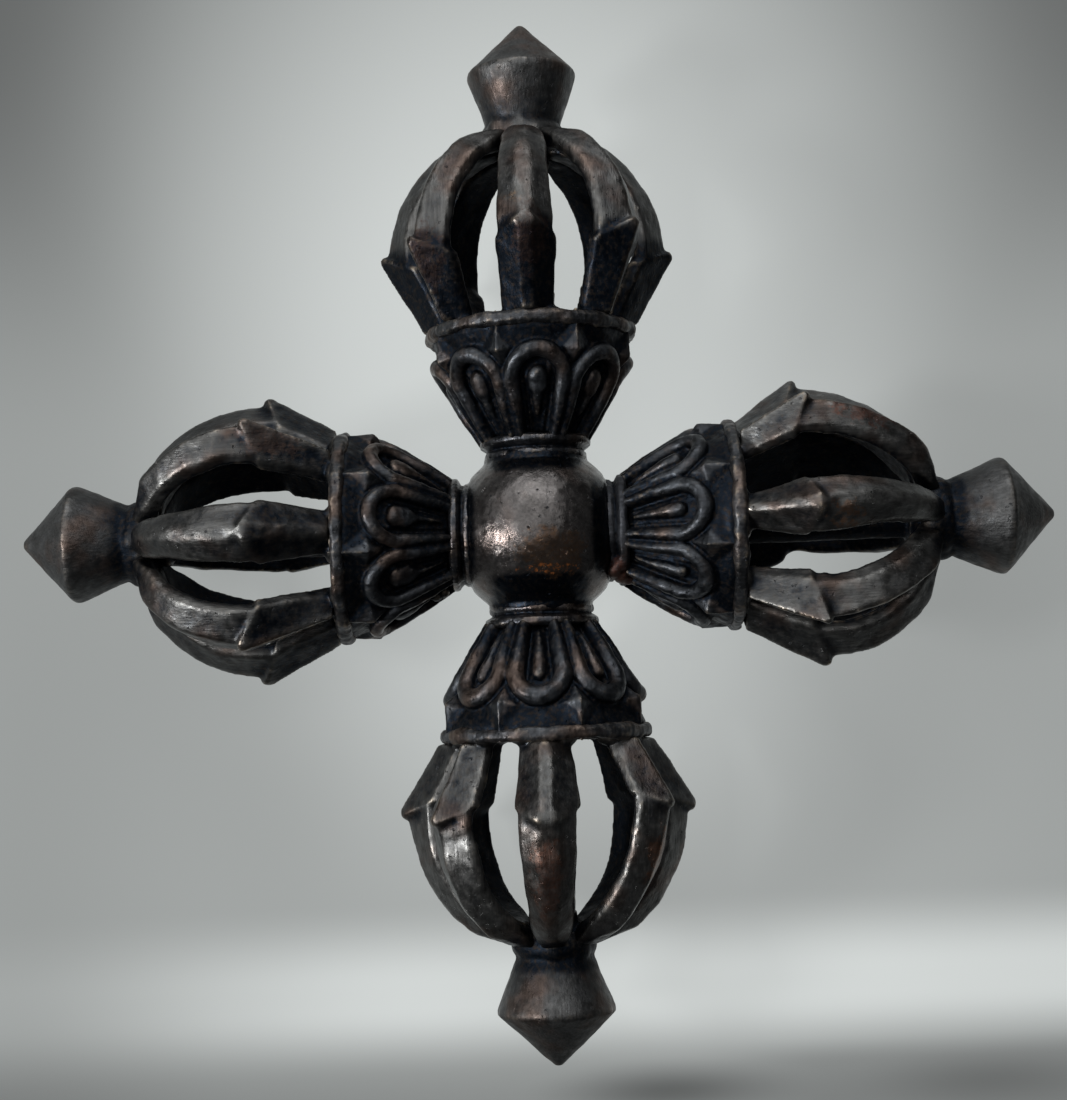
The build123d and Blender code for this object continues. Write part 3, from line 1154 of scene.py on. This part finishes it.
@dataclass
class Petal:
    """One lotus petal, shaped flat: X across, Y from the root to the crown, Z out of the wall.

    It has a broad band, a finer bow within it, a thin lip round it, and a tongue. The horseshoes'
    legs run down in so many parts to a root above the neck. The tongue's tail is drawn out from
    just below its middle, and narrowed and thinned from further down.
    """

    half_width: float
    band: float
    crown: float
    tongue: Tongue
    leg_parts: int = 4
    root: float = 0.2
    tail_from: float = 0.05
    narrow_share: float = 0.35
    thin_share: float = 0.9
    tongue_back: float = 0.1
    tongue_rise: float = 0.15

    def arch(self, reach: float, thick: float, rise: float, height: float, draw: float) -> bpy.types.Object:
        """Shapes a horseshoe: half a ring whose two legs run down and draw together.

        Args:
            reach: Distance from the middle to the horseshoe's outer edge.
            thick: Width of its bar.
            rise: How far its bar's middle stands out of the wall.
            height: The bar's thickness out of the wall.
            draw: How much the legs have drawn together at their ends, as a share.

        Returns:
            The horseshoe, centred on the petal's head.
        """
        bpy.ops.mesh.primitive_torus_add(
            major_radius=reach - thick / 2, minor_radius=thick / 2, major_segments=40, minor_segments=12)
        bow = bpy.context.object
        pick_points(bow, lambda place: True)
        bpy.ops.mesh.bisect(plane_co=(0, 0, 0), plane_no=(0, 1, 0), clear_inner=True)
        close_edit()
        pick_points(bow, lambda place: place.y < 1e-4)
        legs = self.crown - reach - self.root
        down = (0, -legs / self.leg_parts, 0)
        for part in range(self.leg_parts):
            before, after = 1 - draw * part / self.leg_parts, 1 - draw * (part + 1) / self.leg_parts
            bpy.ops.mesh.extrude_region_move(TRANSFORM_OT_translate={"value": down})
            bpy.ops.transform.resize(value=(after / before, 1, 1), center_override=(0, 0, 0))
        bpy.ops.mesh.edge_face_add()
        close_edit()
        pick_points(bow, lambda place: True)
        bpy.ops.transform.resize(value=(1, 1, height / thick), center_override=(0, 0, 0))
        bpy.ops.transform.translate(value=(0, self.crown - reach, rise))
        close_edit()
        return bow

    def tongue_shape(self) -> bpy.types.Object:
        """Shapes the raised tongue: a round head that draws out into a tail towards the root.

        Returns:
            The tongue, in the petal's flat axes.
        """
        bpy.ops.mesh.primitive_uv_sphere_add(segments=24, ring_count=14, radius=1.0)
        tongue = bpy.context.object
        wide, head, high, tail_share, tail = self.tongue.value
        pick_points(tongue, lambda place: True)
        bpy.ops.transform.resize(value=(wide, head, high), center_override=(0, 0, 0))
        close_edit()
        pick_points(tongue, lambda place: place.y < -self.tail_from)
        bpy.ops.transform.resize(value=(1, tail / head, 1), center_override=(0, 0, 0))
        close_edit()
        pick_points(tongue, lambda place: place.y < -self.narrow_share * tail)
        bpy.ops.transform.resize(value=(tail_share, 1, self.thin_share), center_override=(0, 0, 0))
        close_edit()
        pick_points(tongue, lambda place: True)
        up = self.crown - self.half_width - self.tongue_back
        bpy.ops.transform.translate(value=(0, up, self.tongue_rise))
        close_edit()
        return tongue

    def build(self) -> bpy.types.Object:
        """Shapes the whole petal flat and joins it.

        Returns:
            The petal.
        """
        high, within = self.band * 1.15, self.half_width - self.band - 0.2
        band = self.arch(reach=self.half_width, thick=self.band, rise=0.45, height=high, draw=0.42)
        inner = self.arch(reach=within, thick=0.45, rise=-0.1, height=0.6, draw=0.6)
        lip = self.arch(reach=self.half_width + 0.5, thick=0.4, rise=0.0, height=0.6, draw=0.48)
        return joined((band, inner, lip, self.tongue_shape()), "petal")


@dataclass
class LotusCup:
    """The flared cup: a turned wall, eight petals with tongues, and leaf points between them.

    The wall is given as radii at stations from the neck. Shade is painted where it rises less than
    the petals do, and near the neck; both fade over a run in millimetres.
    """

    petals: int = 8
    flashed: str = "west"
    flash: tuple[tuple[Triple, Triple], ...] = (
        ((0.5, -5.9, 10.3), (0.8, 0.6, 0.6)), ((0.7, -6.4, 11.0), (0.7, 0.5, 0.5)),
    )
    wall: tuple[Pair, ...] = ((4.6, 0.0), (6.0, 2.0), (7.45, 4.4), (9.0, 7.2), (10.3, 10.0))
    spigot: float = 10.3
    leaf_size: Triple = (3.3, 3.6, 1.9)
    leaf_spot: Triple = (0.0, 8.2, 0.55)
    wall_sides: int = 96
    wall_steps: int = 14
    shade_rise: Pair = (0.25, 0.85)
    shade_neck: Pair = (0.8, 5.0)
    work: HandWork = HandWork(
        0.155, softening=3, layers=(Unevenness(1.6, 0.2), Unevenness(0.5, 0.05)),
        near_steps=3, far_steps=32)
    petal_kinds: dict[str, Petal] = field(default_factory=lambda: {
        "east": Petal(3.2, 1.5, 8.5, Tongue.BAR),
        "north": Petal(3.4, 1.6, 8.8, Tongue.DROP),
        "west": Petal(3.2, 1.4, 8.6, Tongue.WEDGE),
        "south": Petal(3.2, 1.8, 8.3, Tongue.BAR),
    })

    def wall_at(self, along: np.ndarray) -> tuple[np.ndarray, np.ndarray]:
        """Gives the wall's radius and its slope at distances along the axis from the neck.

        Args:
            along: Distances from the neck.

        Returns:
            Radii and slopes.
        """
        stations = np.array([station for _, station in self.wall])
        radii = np.array([radius for radius, _ in self.wall])
        fit = np.polynomial.Polynomial.fit(stations, radii, 3)
        return fit(along), fit.deriv()(along)

    def wrapped(self, flat: bpy.types.Object, angle: float, name: str) -> bpy.types.Object:
        """Copies a flat ornament and lays it round the wall.

        Args:
            flat: The ornament, X across, Y up the wall and Z out of it.
            angle: Its place round the axis in degrees.
            name: The copy's name.

        Returns:
            The copy, in the arm's own axes.
        """
        copy = bpy.data.objects.new(name, flat.data.copy())
        bpy.context.scene.collection.objects.link(copy)
        places = points_of(copy.data)
        radius, slope = self.wall_at(places[:, 1])
        run = np.hypot(1.0, slope)
        out, up = 1.0 / run, -slope / run
        turned = radians(angle) + places[:, 0] / radius
        reach = radius + places[:, 2] * out
        station = NECK + places[:, 1] + places[:, 2] * up
        set_points(copy.data, np.stack((reach * np.cos(turned), reach * np.sin(turned), station), axis=1))
        return copy

    def body(self) -> bpy.types.Object:
        """Shapes the wall: a ring extruded and widened station by station, then closed.

        Returns:
            The wall, in the arm's own axes.
        """
        bpy.ops.mesh.primitive_circle_add(
            vertices=self.wall_sides, radius=self.wall[0][0], location=(0, 0, 0))
        cup = bpy.context.object
        pick_points(cup, lambda place: True)
        bpy.ops.mesh.edge_face_add()
        steps = np.linspace(0.0, self.wall[-1][1], self.wall_steps)
        radii, _ = self.wall_at(steps)
        bpy.ops.mesh.select_all(action="SELECT")
        for step in range(1, len(steps)):
            bpy.ops.mesh.extrude_region_move(
                TRANSFORM_OT_translate={"value": (0, 0, float(steps[step] - steps[step - 1]))})
            share = float(radii[step] / radii[step - 1])
            bpy.ops.transform.resize(value=(share, share, 1), center_override=(0, 0, 0))
        share = self.spigot / float(radii[-1])
        bpy.ops.transform.resize(value=(share, share, 1), center_override=(0, 0, 0))
        bpy.ops.mesh.extrude_region_move(
            TRANSFORM_OT_translate={"value": (0, 0, MOUTH - NECK - self.wall[-1][1])})
        bpy.ops.mesh.select_all(action="SELECT")
        bpy.ops.transform.translate(value=(0, 0, NECK))
        bpy.ops.mesh.normals_make_consistent(inside=False)
        close_edit()
        return cup

    def leaf(self) -> bpy.types.Object:
        """Shapes the point of a leaf behind the petals, flat, with a ridge down its middle.

        Returns:
            The leaf point, in the petal's flat axes.
        """
        bpy.ops.mesh.primitive_cone_add(vertices=4, radius1=1.0, depth=1.0)
        point = bpy.context.object
        pick_points(point, lambda place: True)
        bpy.ops.transform.resize(value=self.leaf_size, center_override=(0, 0, 0))
        bpy.ops.transform.translate(value=self.leaf_spot)
        close_edit()
        return point

    def build(self, arm: Arm, shop: Workshop) -> None:
        """Makes one arm's cup.

        Args:
            arm: The arm.
            shop: The finishes.
        """
        flat_petal, flat_leaf = self.petal_kinds[arm.name].build(), self.leaf()
        pitch = 360 / self.petals
        parts = [self.body()]
        for number in range(self.petals):
            parts.append(self.wrapped(flat_petal, number * pitch, f"petal_{number}"))
            parts.append(self.wrapped(flat_leaf, (number + 0.5) * pitch, f"leaf_{number}"))
        for flat in (flat_petal, flat_leaf):
            bpy.data.objects.remove(flat)
        skin = joined(parts, f"{arm.name}_cup_skin")
        turn = Matrix.Rotation(radians(arm.cup_turn), 4, "Z")
        skin.data.transform(arm.place() @ turn @ Matrix.Scale(MM, 4))
        if arm.name == self.flashed:
            flash = [lump(arm.place(), spot, size, "flash") for spot, size in self.flash]
            skin = joined([skin, *flash], skin.name)
        self.work.work(skin)
        # Painted shade between the petals and at the neck.
        record_lie(skin.data, arm.place(), arm.number, self.sunk_and_shaded)
        stand_for(skin, f"{arm.name}_lotus_cup", shop.finishes["cup bronze"])

    def sunk_and_shaded(self, places: np.ndarray) -> np.ndarray:
        """Says how much shade is painted on each point where it lies sunk between the petals and down at the
        neck.

        Args:
            places: Rows of local places in millimetres.

        Returns:
            A share from 0 to 1 for each place.
        """
        station = places[:, 2] - NECK
        radius, slope = self.wall_at(station)
        rise = (np.hypot(places[:, 0], places[:, 1]) - radius) / np.hypot(1.0, slope)
        return 1 - np.minimum(share_between(rise, *self.shade_rise), share_between(station, *self.shade_neck))


@dataclass(frozen=True)
class Course:
    """How a value runs along an arm: its stations in millimetres and the value at each."""

    stations: tuple[float, ...]
    values: tuple[float, ...]

    def at(self, station: np.ndarray) -> np.ndarray:
        """Reads the value at each of some stations."""
        return np.interp(station, self.stations, self.values)


@dataclass
class Prongs:
    """The eight prongs of an arm, each with its own filing and its lumps of braze.

    A crest is found slice by slice. Slide and reach tell as the hump does, depth along the thinned
    run, and swing out to the elbow. Tips lean in to the hub: from a station on, they lose depth.
    """

    count: int = 8
    seed: int = 11
    slice: float = 0.4
    evened_over: int = 5
    hump: Course = Course((MOUTH, ELBOW - 0.5, ELBOW + 0.5, CAGE_END), (0.0, 1.0, 1.0, 0.0))
    thinned: Course = Course((MOUTH + 1, ELBOW, CAGE_END - 4, CAGE_END), (0.4, 1.0, 1.0, 0.0))
    swung: Course = Course((ELBOW, CAGE_END - 1), (1.0, 0.25))
    width_stations: tuple[float, ...] = (MOUTH - 0.5, ELBOW - 0.6, ELBOW + 2.0, CAGE_END)
    shade_stations: tuple[float, ...] = (ELBOW - 0.9, ELBOW + 0.9, CAGE_END - 2.8, CAGE_END - 0.6)
    rounded_run: Pair = (ELBOW + 0.4, ELBOW + 1.6)
    point_reach: float = 1.1
    tip_depth: float = 3.9
    tip_fall: float = 3.2
    tip_from: float = CAGE_END - 0.6
    last_station: float = CAGE_END - 0.3
    braze_angle: float = 16.5
    braze_sizes: tuple[Pair, ...] = ((1.3, 1.7), (1.0, 1.6), (0.6, 1.1))
    braze_out: Pair = (8.6, 9.3)
    braze_back: float = 0.4
    work: HandWork = HandWork(
        0.21, softening=4, layers=(Unevenness(4.0, 0.42), Unevenness(1.3, 0.06), Unevenness(0.5, 0.03)),
        near_steps=4, far_steps=36)

    def build(self, arm: Arm, shop: Workshop) -> None:
        """Makes one arm's prongs.

        Args:
            arm: The arm.
            shop: The finishes.
        """
        chance = Random(self.seed + arm.number)
        inverse = np.array(arm.place().inverted())
        for number in range(1, self.count + 1):
            node = f"{arm.name}_prong_{number}"
            skin = copy_of_node(node, f"{arm.name}_prong_skin_{number}")
            self.work.fuse(skin)
            setting = arm.prongs[number]
            angle = arm.cage_turn + (number - 1) * 360 / self.count
            self.set_by_hand(skin, arm, angle, setting)
            skin = joined([skin, *self.braze(arm, angle + setting.swing, setting.foot, chance)], skin.name)
            self.work.work(
                skin, lambda places: self.rounded(setting, (places @ inverse[2, :3] + inverse[2, 3]) / MM))
            # Painted shade: faces inside the cage, and the arm's shares along the prong.
            outward = normals_of(skin.data) @ inverse[:3, :3].T
            record_lie(
                skin.data, arm.place(), arm.number * self.count + number,
                lambda places: self.painted_shade_on_prong(arm, places, outward))
            stand_for(skin, node, shop.finishes["prong bronze"])

    def painted_shade_on_prong(self, arm: Arm, places: np.ndarray, outward: np.ndarray) -> np.ndarray:
        """Says where shade is painted on a prong: on faces inside the cage, and as its arm's shares go.

        Args:
            arm: The arm.
            places: Rows of local places in millimetres.
            outward: The surface's local normals there.

        Returns:
            A share from 0 to 1 for each place.
        """
        shoulder, horn, tip = arm.shade_and_patina
        along = Course(self.shade_stations, (shoulder, horn, horn, tip))
        return np.maximum(turned_inward(places, outward), along.at(places[:, 2]))

    def rounded(self, setting: HandSetting, station: np.ndarray) -> np.ndarray:
        """Says where a prong is rounded most: past its elbow, and at a blunt elbow's point.

        Args:
            setting: How the prong is set.
            station: Each point's place along the arm in millimetres.

        Returns:
            A share from 0 to 1 for each point.
        """
        point = setting.blunt * np.exp(-(((station - ELBOW) / self.point_reach) ** 2))
        return np.maximum(share_between(station, *self.rounded_run), point)

    def crest_line(self, deep: np.ndarray, station: np.ndarray) -> np.ndarray:
        """Finds how far out a prong's crest lies at each point's station, evened over a few slices.

        Args:
            deep: Each point's distance from the arm's axis in millimetres.
            station: Each point's place along the arm in millimetres.

        Returns:
            The crest's distance from the axis for each point.
        """
        first = station.min()
        slices = ((station - first) / self.slice).astype(int)
        crest = np.full(slices.max() + 1, -np.inf)
        np.maximum.at(crest, slices, deep)
        known = np.flatnonzero(np.isfinite(crest))
        filled = np.interp(np.arange(len(crest)), known, crest[known])
        filled = np.pad(filled, self.evened_over // 2, mode="edge")
        evened = np.convolve(filled, np.full(self.evened_over, 1 / self.evened_over), mode="valid")
        return np.interp((station - first) / self.slice - 0.5, np.arange(len(evened)), evened)

    def set_by_hand(self, skin: bpy.types.Object, arm: Arm, angle: float, setting: HandSetting) -> None:
        """Gives an even prong the shape and place that the maker's hand gave it.

        Args:
            skin: The prong.
            arm: The arm that it stands on.
            angle: The even prong's place round the arm's axis in degrees.
            setting: How it departs from the even prong.
        """
        place = np.array(arm.place() @ Matrix.Rotation(radians(angle), 4, "Z"))
        inverse = np.linalg.inv(place)
        local = (points_of(skin.data) @ inverse[:3, :3].T + inverse[:3, 3]) / MM
        deep, across, station = local[:, 0], local[:, 1], local[:, 2]
        crest = self.crest_line(deep, station)
        hump = self.hump.at(station)
        widths = (setting.foot, setting.elbow, setting.elbow, setting.tip)
        across = across * Course(self.width_stations, widths).at(station)
        deep = deep + np.maximum(crest - deep, 0.0) * (1 - setting.depth) * self.thinned.at(station)
        deep = np.minimum(deep, crest - setting.filed)
        deep = np.minimum(deep, self.tip_depth + self.tip_fall * (self.tip_from - station))
        deep = deep * (1 + (setting.reach - 1) * hump)
        swing = np.radians(setting.swing) * self.swung.at(station)
        moved = np.stack((
            deep * np.cos(swing) - across * np.sin(swing),
            deep * np.sin(swing) + across * np.cos(swing),
            np.minimum(station + setting.slide * hump, self.last_station)), axis=1) * MM
        set_points(skin.data, moved @ place[:3, :3].T + place[:3, 3])

    def braze(self, arm: Arm, angle: float, foot: float, chance: Random) -> list[bpy.types.Object]:
        """Lays the lumps of braze round a prong's foot.

        Args:
            arm: The arm.
            angle: The prong's place round the arm's axis in degrees.
            foot: The foot's width as a share of the even prong's.
            chance: Where the lumps' differences come from.

        Returns:
            The lumps.
        """
        lumps = []
        for side in (-1, 1):
            spread_out = side * (self.braze_angle * foot + chance.uniform(-1, 3))
            turn = Matrix.Rotation(radians(angle + spread_out), 4, "Z")
            size = tuple(chance.uniform(*span) for span in self.braze_sizes)
            spot = (chance.uniform(*self.braze_out), 0.0, MOUTH - self.braze_back)
            lumps.append(lump(arm.place() @ turn, spot, size, "braze"))
        return lumps


@dataclass
class Spindle:
    """Shaft, hub and two-coned finial, with the braze that holds the prongs' tips.

    The bead of braze has a ring radius, a thickness and a distance back from the cage's end. Lumps
    lie on it in two rows. The painted shade stands at stations from the cage's end.
    """

    bead: Triple = (3.35, 1.0, 0.5)
    seed: int = 31
    lumps: int = 16
    lump_sizes: tuple[Pair, ...] = ((0.9, 1.2), (1.1, 1.5), (1.1, 1.6))
    lump_out: Pair = (3.3, 3.6)
    lump_back: float = 0.7
    lump_step: float = 0.6
    neck_shade: float = 0.35
    shade_stations: tuple[float, ...] = (CAGE_END - 1.0, CAGE_END + 0.4, CAGE_END + 2.0, CAGE_END + 5.0)
    work: HandWork = HandWork(
        0.24, softening=4, layers=(Unevenness(3.5, 0.22), Unevenness(0.9, 0.06)), near_steps=4, far_steps=32)

    def build(self, arm: Arm, shop: Workshop) -> None:
        """Makes one arm's spindle.

        Args:
            arm: The arm.
            shop: The finishes.
        """
        node = f"{arm.name}_spindle"
        skin = copy_of_node(node, f"{arm.name}_finial_skin")
        major, minor, back = self.bead
        skin = joined([skin, ring(arm, major, minor, CAGE_END - back), *self.braze(arm)], skin.name)
        self.work.work(skin)
        # Painted shade along the finial, from the arm's shares.
        _, horn, tip = arm.shade_and_patina
        along = Course(self.shade_stations, (tip, tip, self.neck_shade, horn / 2))
        record_lie(skin.data, arm.place(), arm.number, lambda places: along.at(places[:, 2]))
        stand_for(skin, node, shop.finishes["finial bronze"])

    def braze(self, arm: Arm) -> list[bpy.types.Object]:
        """Lays the lumps of braze round the hub.

        Args:
            arm: The arm.

        Returns:
            The lumps.
        """
        chance = Random(self.seed + arm.number)
        blobs = []
        for number in range(self.lumps):
            heading = arm.cage_turn + 360 / self.lumps * number + chance.uniform(-4, 4)
            turn = Matrix.Rotation(radians(heading), 4, "Z")
            size = tuple(chance.uniform(*span) for span in self.lump_sizes)
            station = CAGE_END - self.lump_back - self.lump_step * (number % 2)
            spot = (chance.uniform(*self.lump_out), 0.0, station + chance.uniform(-0.2, 0.2))
            blobs.append(lump(arm.place() @ turn, spot, size, "braze"))
        return blobs


# Studio


@dataclass(frozen=True)
class Fade:
    """A smooth change over a place or a distance in metres: where it begins and ends, its two levels."""

    low: float
    high: float
    start: float = 0.0
    end: float = 1.0

    def over(self, board: Board, value: bpy.types.NodeSocket) -> bpy.types.NodeSocket:
        """Wires the change."""
        return board.ramp(value, low=self.low, high=self.high, start=self.start, end=self.end)


@dataclass(frozen=True)
class Hub:
    """A place on the floor that a distance is measured from: its middle in metres, each axis' weight."""

    middle: Pair
    weight: Pair

    def distance(self, board: Board, spot: bpy.types.NodeSocket) -> bpy.types.NodeSocket:
        """Measures how far places on the floor are from the middle.

        Args:
            board: The floor's nodes.
            spot: Places on the floor.

        Returns:
            The socket with the distance.
        """
        shifted = board.add("ShaderNodeMapping")
        shifted.inputs["Location"].default_value = (
            -self.middle[0] * self.weight[0], -self.middle[1] * self.weight[1], 0.0)
        shifted.inputs["Scale"].default_value = (*self.weight, 1.0)
        board.join(spot, shifted.inputs["Vector"])
        length = board.add("ShaderNodeVectorMath", operation="LENGTH")
        board.join(shifted.outputs[0], length.inputs[0])
        return length.outputs["Value"]


@dataclass(frozen=True)
class FloorTone:
    """The floor's shading, as the photograph has it behind the cross.

    A painted pool of light melts into a duller level. The tone is painted lighter in front of the pool,
    a painted pale band of light runs along the front, and the front edge, the left edge, the front corners
    and two dips, as painted shadows, are darker. The floor is painted darker still in front and to the
    right, beyond the frame, as shade for the metal to reflect.
    """

    light_pool: Hub = Hub((0.0014, 0.019), (1.0, 0.74))
    pool_fade: Fade = Fade(0.0, 0.085)
    pool_tone: float = 0.71
    pool_fall: float = 0.64
    level: Fade = Fade(0.010, 0.062, 0.37, 0.14)
    melt: float = 0.12
    lift: Hub = Hub((0.012, -0.032), (1.0, 0.8))
    lift_fade: Fade = Fade(0.004, 0.050, 0.20, 0.0)
    band_back: Fade = Fade(-0.0475, -0.0385, 1.0, 0.0)
    band_front: Fade = Fade(-0.0575, -0.0498)
    band_across: Fade = Fade(-0.062, -0.012, 0.05, 0.29)
    front: Fade = Fade(-0.0615, -0.051, 0.67, 1.0)
    left: Fade = Fade(-0.060, -0.034, 0.87, 1.0)
    corners: tuple[tuple[Fade, Fade], ...] = (
        (Fade(-0.062, -0.025, 0.14, 0.0), Fade(-0.058, -0.046, 1.0, 0.0)),
        (Fade(0.012, 0.030, 0.0, 0.2), Fade(-0.0575, -0.0545, 1.0, 0.0)),
    )
    painted_shadows: tuple[tuple[Hub, Fade], ...] = (
        (Hub((0.0119, -0.0598), (1.0, 4.5)), Fade(0.0, 0.017, 0.45)),
        (Hub((0.0465, -0.0598), (1.0, 4.5)), Fade(0.0, 0.017, 0.75)),
    )
    painted_front_shade: Fade = Fade(-0.13, -0.066, 0.15, 1.0)
    painted_right_shade: Fade = Fade(0.066, 0.13, 1.0, 0.4)
    tint: Colour = (0.955, 1.0, 0.985, 1)

    def wire(self, board: Board, spot: bpy.types.NodeSocket) -> bpy.types.NodeSocket:
        """Shades the floor.

        Args:
            board: The floor's nodes.
            spot: Places on the floor.

        Returns:
            The socket with the floor's colour.
        """
        axes = board.add("ShaderNodeSeparateXYZ")
        board.join(spot, axes.inputs[0])
        x, y = axes.outputs["X"], axes.outputs["Y"]
        # The painted pool of light and the painted lift in front of it.
        away = self.pool_fade.over(board, self.light_pool.distance(board, spot))
        light_pool = board.minus(self.pool_tone, board.times(away, self.pool_fall))
        value = board.maths("SMOOTH_MAX", light_pool, self.level.over(board, y), self.melt)
        near = self.lift_fade.over(board, self.lift.distance(board, spot))
        value = board.times(value, board.plus(near, 1.0))
        # The painted pale band of light along the front.
        band = board.times(self.band_back.over(board, y), self.band_front.over(board, y))
        value = board.plus(value, board.times(band, self.band_across.over(board, x)))
        # Painted shade along the front and left edges and in the front corners.
        for fade, axis in ((self.front, y), (self.left, x)):
            value = board.times(value, fade.over(board, axis))
        for across, along in self.corners:
            corner = board.times(across.over(board, x), along.over(board, y))
            value = board.times(value, board.minus(1.0, corner))
        # The two painted shadows.
        for shadow_hub, fade in self.painted_shadows:
            value = board.times(value, fade.over(board, shadow_hub.distance(board, spot)))
        # Painted shade in front and to the right, seen in the metal's reflections.
        for fade, axis in ((self.painted_front_shade, y), (self.painted_right_shade, x)):
            value = board.times(value, fade.over(board, axis))
        return board.blend(1.0, value, self.tint, "MULTIPLY")


@dataclass(frozen=True)
class Softbox:
    """A soft square lamp that faces the cross: its place and side in metres, its power in watts."""

    name: str
    spot: Triple
    size: float
    power: float

    def hang(self) -> None:
        """Hangs the lamp."""
        light = bpy.data.lights.new(self.name, "AREA")
        light.shape, light.size, light.energy = "SQUARE", self.size, self.power
        lamp = bpy.data.objects.new(self.name, light)
        lamp.location = self.spot
        aim = BALL_CENTRE - Vector(self.spot)
        lamp.rotation_euler = aim.to_track_quat("-Z", "Y").to_euler()
        bpy.context.scene.collection.objects.link(lamp)


@dataclass
class Studio:
    """A pale floor, soft lamps and a plain surround.

    To the camera and to reflections, the floor partly shows its own tone, as the photograph's does.
    """

    floor_half: float = 0.6
    floor_rough: float = 0.9
    floor_tone: FloorTone = FloorTone()
    glow_share: float = 0.75
    lamps: tuple[Softbox, ...] = (
        Softbox("key softbox", (-0.45, -0.06, 0.36), size=0.12, power=2.5),
        Softbox("overhead softbox", (-0.11, 0.25, 0.44), size=0.74, power=2.3),
        Softbox("far softbox", (0.0, 0.60, 0.30), size=0.60, power=1.7),
    )
    surround_colour: Colour = (0.80, 0.83, 0.86, 1)
    surround_strength: float = 0.055

    def floor(self) -> None:
        """Lays the pale floor that the cross rests on."""
        bpy.ops.mesh.primitive_plane_add(size=2 * self.floor_half, location=(0, 0, 0))
        floor = bpy.context.object
        floor.name = "studio_floor"
        made = bpy.data.materials.new("pale floor")
        made.use_nodes = True
        board = Board(made.node_tree)
        shader = made.node_tree.nodes["Principled BSDF"]
        tone = self.floor_tone.wire(board, board.add("ShaderNodeTexCoord").outputs["Object"])
        board.join(tone, shader.inputs["Base Color"])
        shader.inputs["Roughness"].default_value = self.floor_rough
        glow = board.add("ShaderNodeEmission")
        board.join(tone, glow.inputs["Color"])
        glow.inputs["Strength"].default_value = 1.0
        # The floor glows with its painted tone to the camera and in reflections, as painted light.
        path = board.add("ShaderNodeLightPath")
        seen = board.plus(path.outputs["Is Camera Ray"], path.outputs["Is Glossy Ray"], clamp=True)
        mix = board.add("ShaderNodeMixShader")
        board.join(board.times(seen, self.glow_share), mix.inputs[0])
        board.join(shader.outputs[0], mix.inputs[1])
        board.join(glow.outputs[0], mix.inputs[2])
        board.join(mix.outputs[0], made.node_tree.nodes["Material Output"].inputs["Surface"])
        floor.data.materials.append(made)

    def surround(self) -> None:
        """Sets the plain pale surround."""
        world = bpy.data.worlds.new("studio surround")
        world.use_nodes = True
        bpy.context.scene.world = world
        back = world.node_tree.nodes["Background"]
        back.inputs["Color"].default_value = self.surround_colour
        back.inputs["Strength"].default_value = self.surround_strength

    def build(self) -> None:
        """Sets up the whole studio."""
        self.floor()
        for lamp in self.lamps:
            lamp.hang()
        self.surround()
        bpy.context.scene.view_settings.view_transform = "Standard"
        log.info("studio")


@dataclass(frozen=True)
class PhotographCamera:
    """The camera, as the photograph's foreshortening places it over the cross.

    Its place is in millimetres, its turns are in degrees, and its lens and sensor in millimetres.
    """

    spot: Triple = (0.07, -21.01, 220.54)
    tilt: float = 5.35
    lean: float = 0.39
    roll: float = -2.17
    lens: float = 65.0
    sensor: float = 36.0
    nearest: float = 10.0

    def build(self) -> None:
        """Hangs the camera."""
        camera = bpy.data.cameras.new("photograph camera")
        camera.lens = self.lens
        camera.sensor_width = self.sensor
        camera.clip_start = self.nearest * MM
        body = bpy.data.objects.new("photograph camera", camera)
        body.location = Vector(self.spot) * MM
        body.rotation_euler = Euler((radians(self.tilt), radians(self.lean), radians(self.roll)), "XYZ")
        bpy.context.scene.collection.objects.link(body)
        bpy.context.scene.camera = body
        log.info("camera")


def main() -> None:
    """Builds the dorje piece by piece, then the studio and the camera."""
    logging.basicConfig(level=logging.INFO, format="%(name)s: %(message)s")
    shop = Workshop()
    shop.prepare()
    Ball().build(shop)
    collar, cup, rim, prongs, spindle = NeckCollar(), LotusCup(), RimRing(), Prongs(), Spindle()
    for arm in ARMS:
        collar.build(arm, shop)
        cup.build(arm, shop)
        rim.build(arm, shop)
        prongs.build(arm, shop)
        spindle.build(arm, shop)
    Studio().build()
    PhotographCamera().build()


if __name__ == "__main__":
    main()
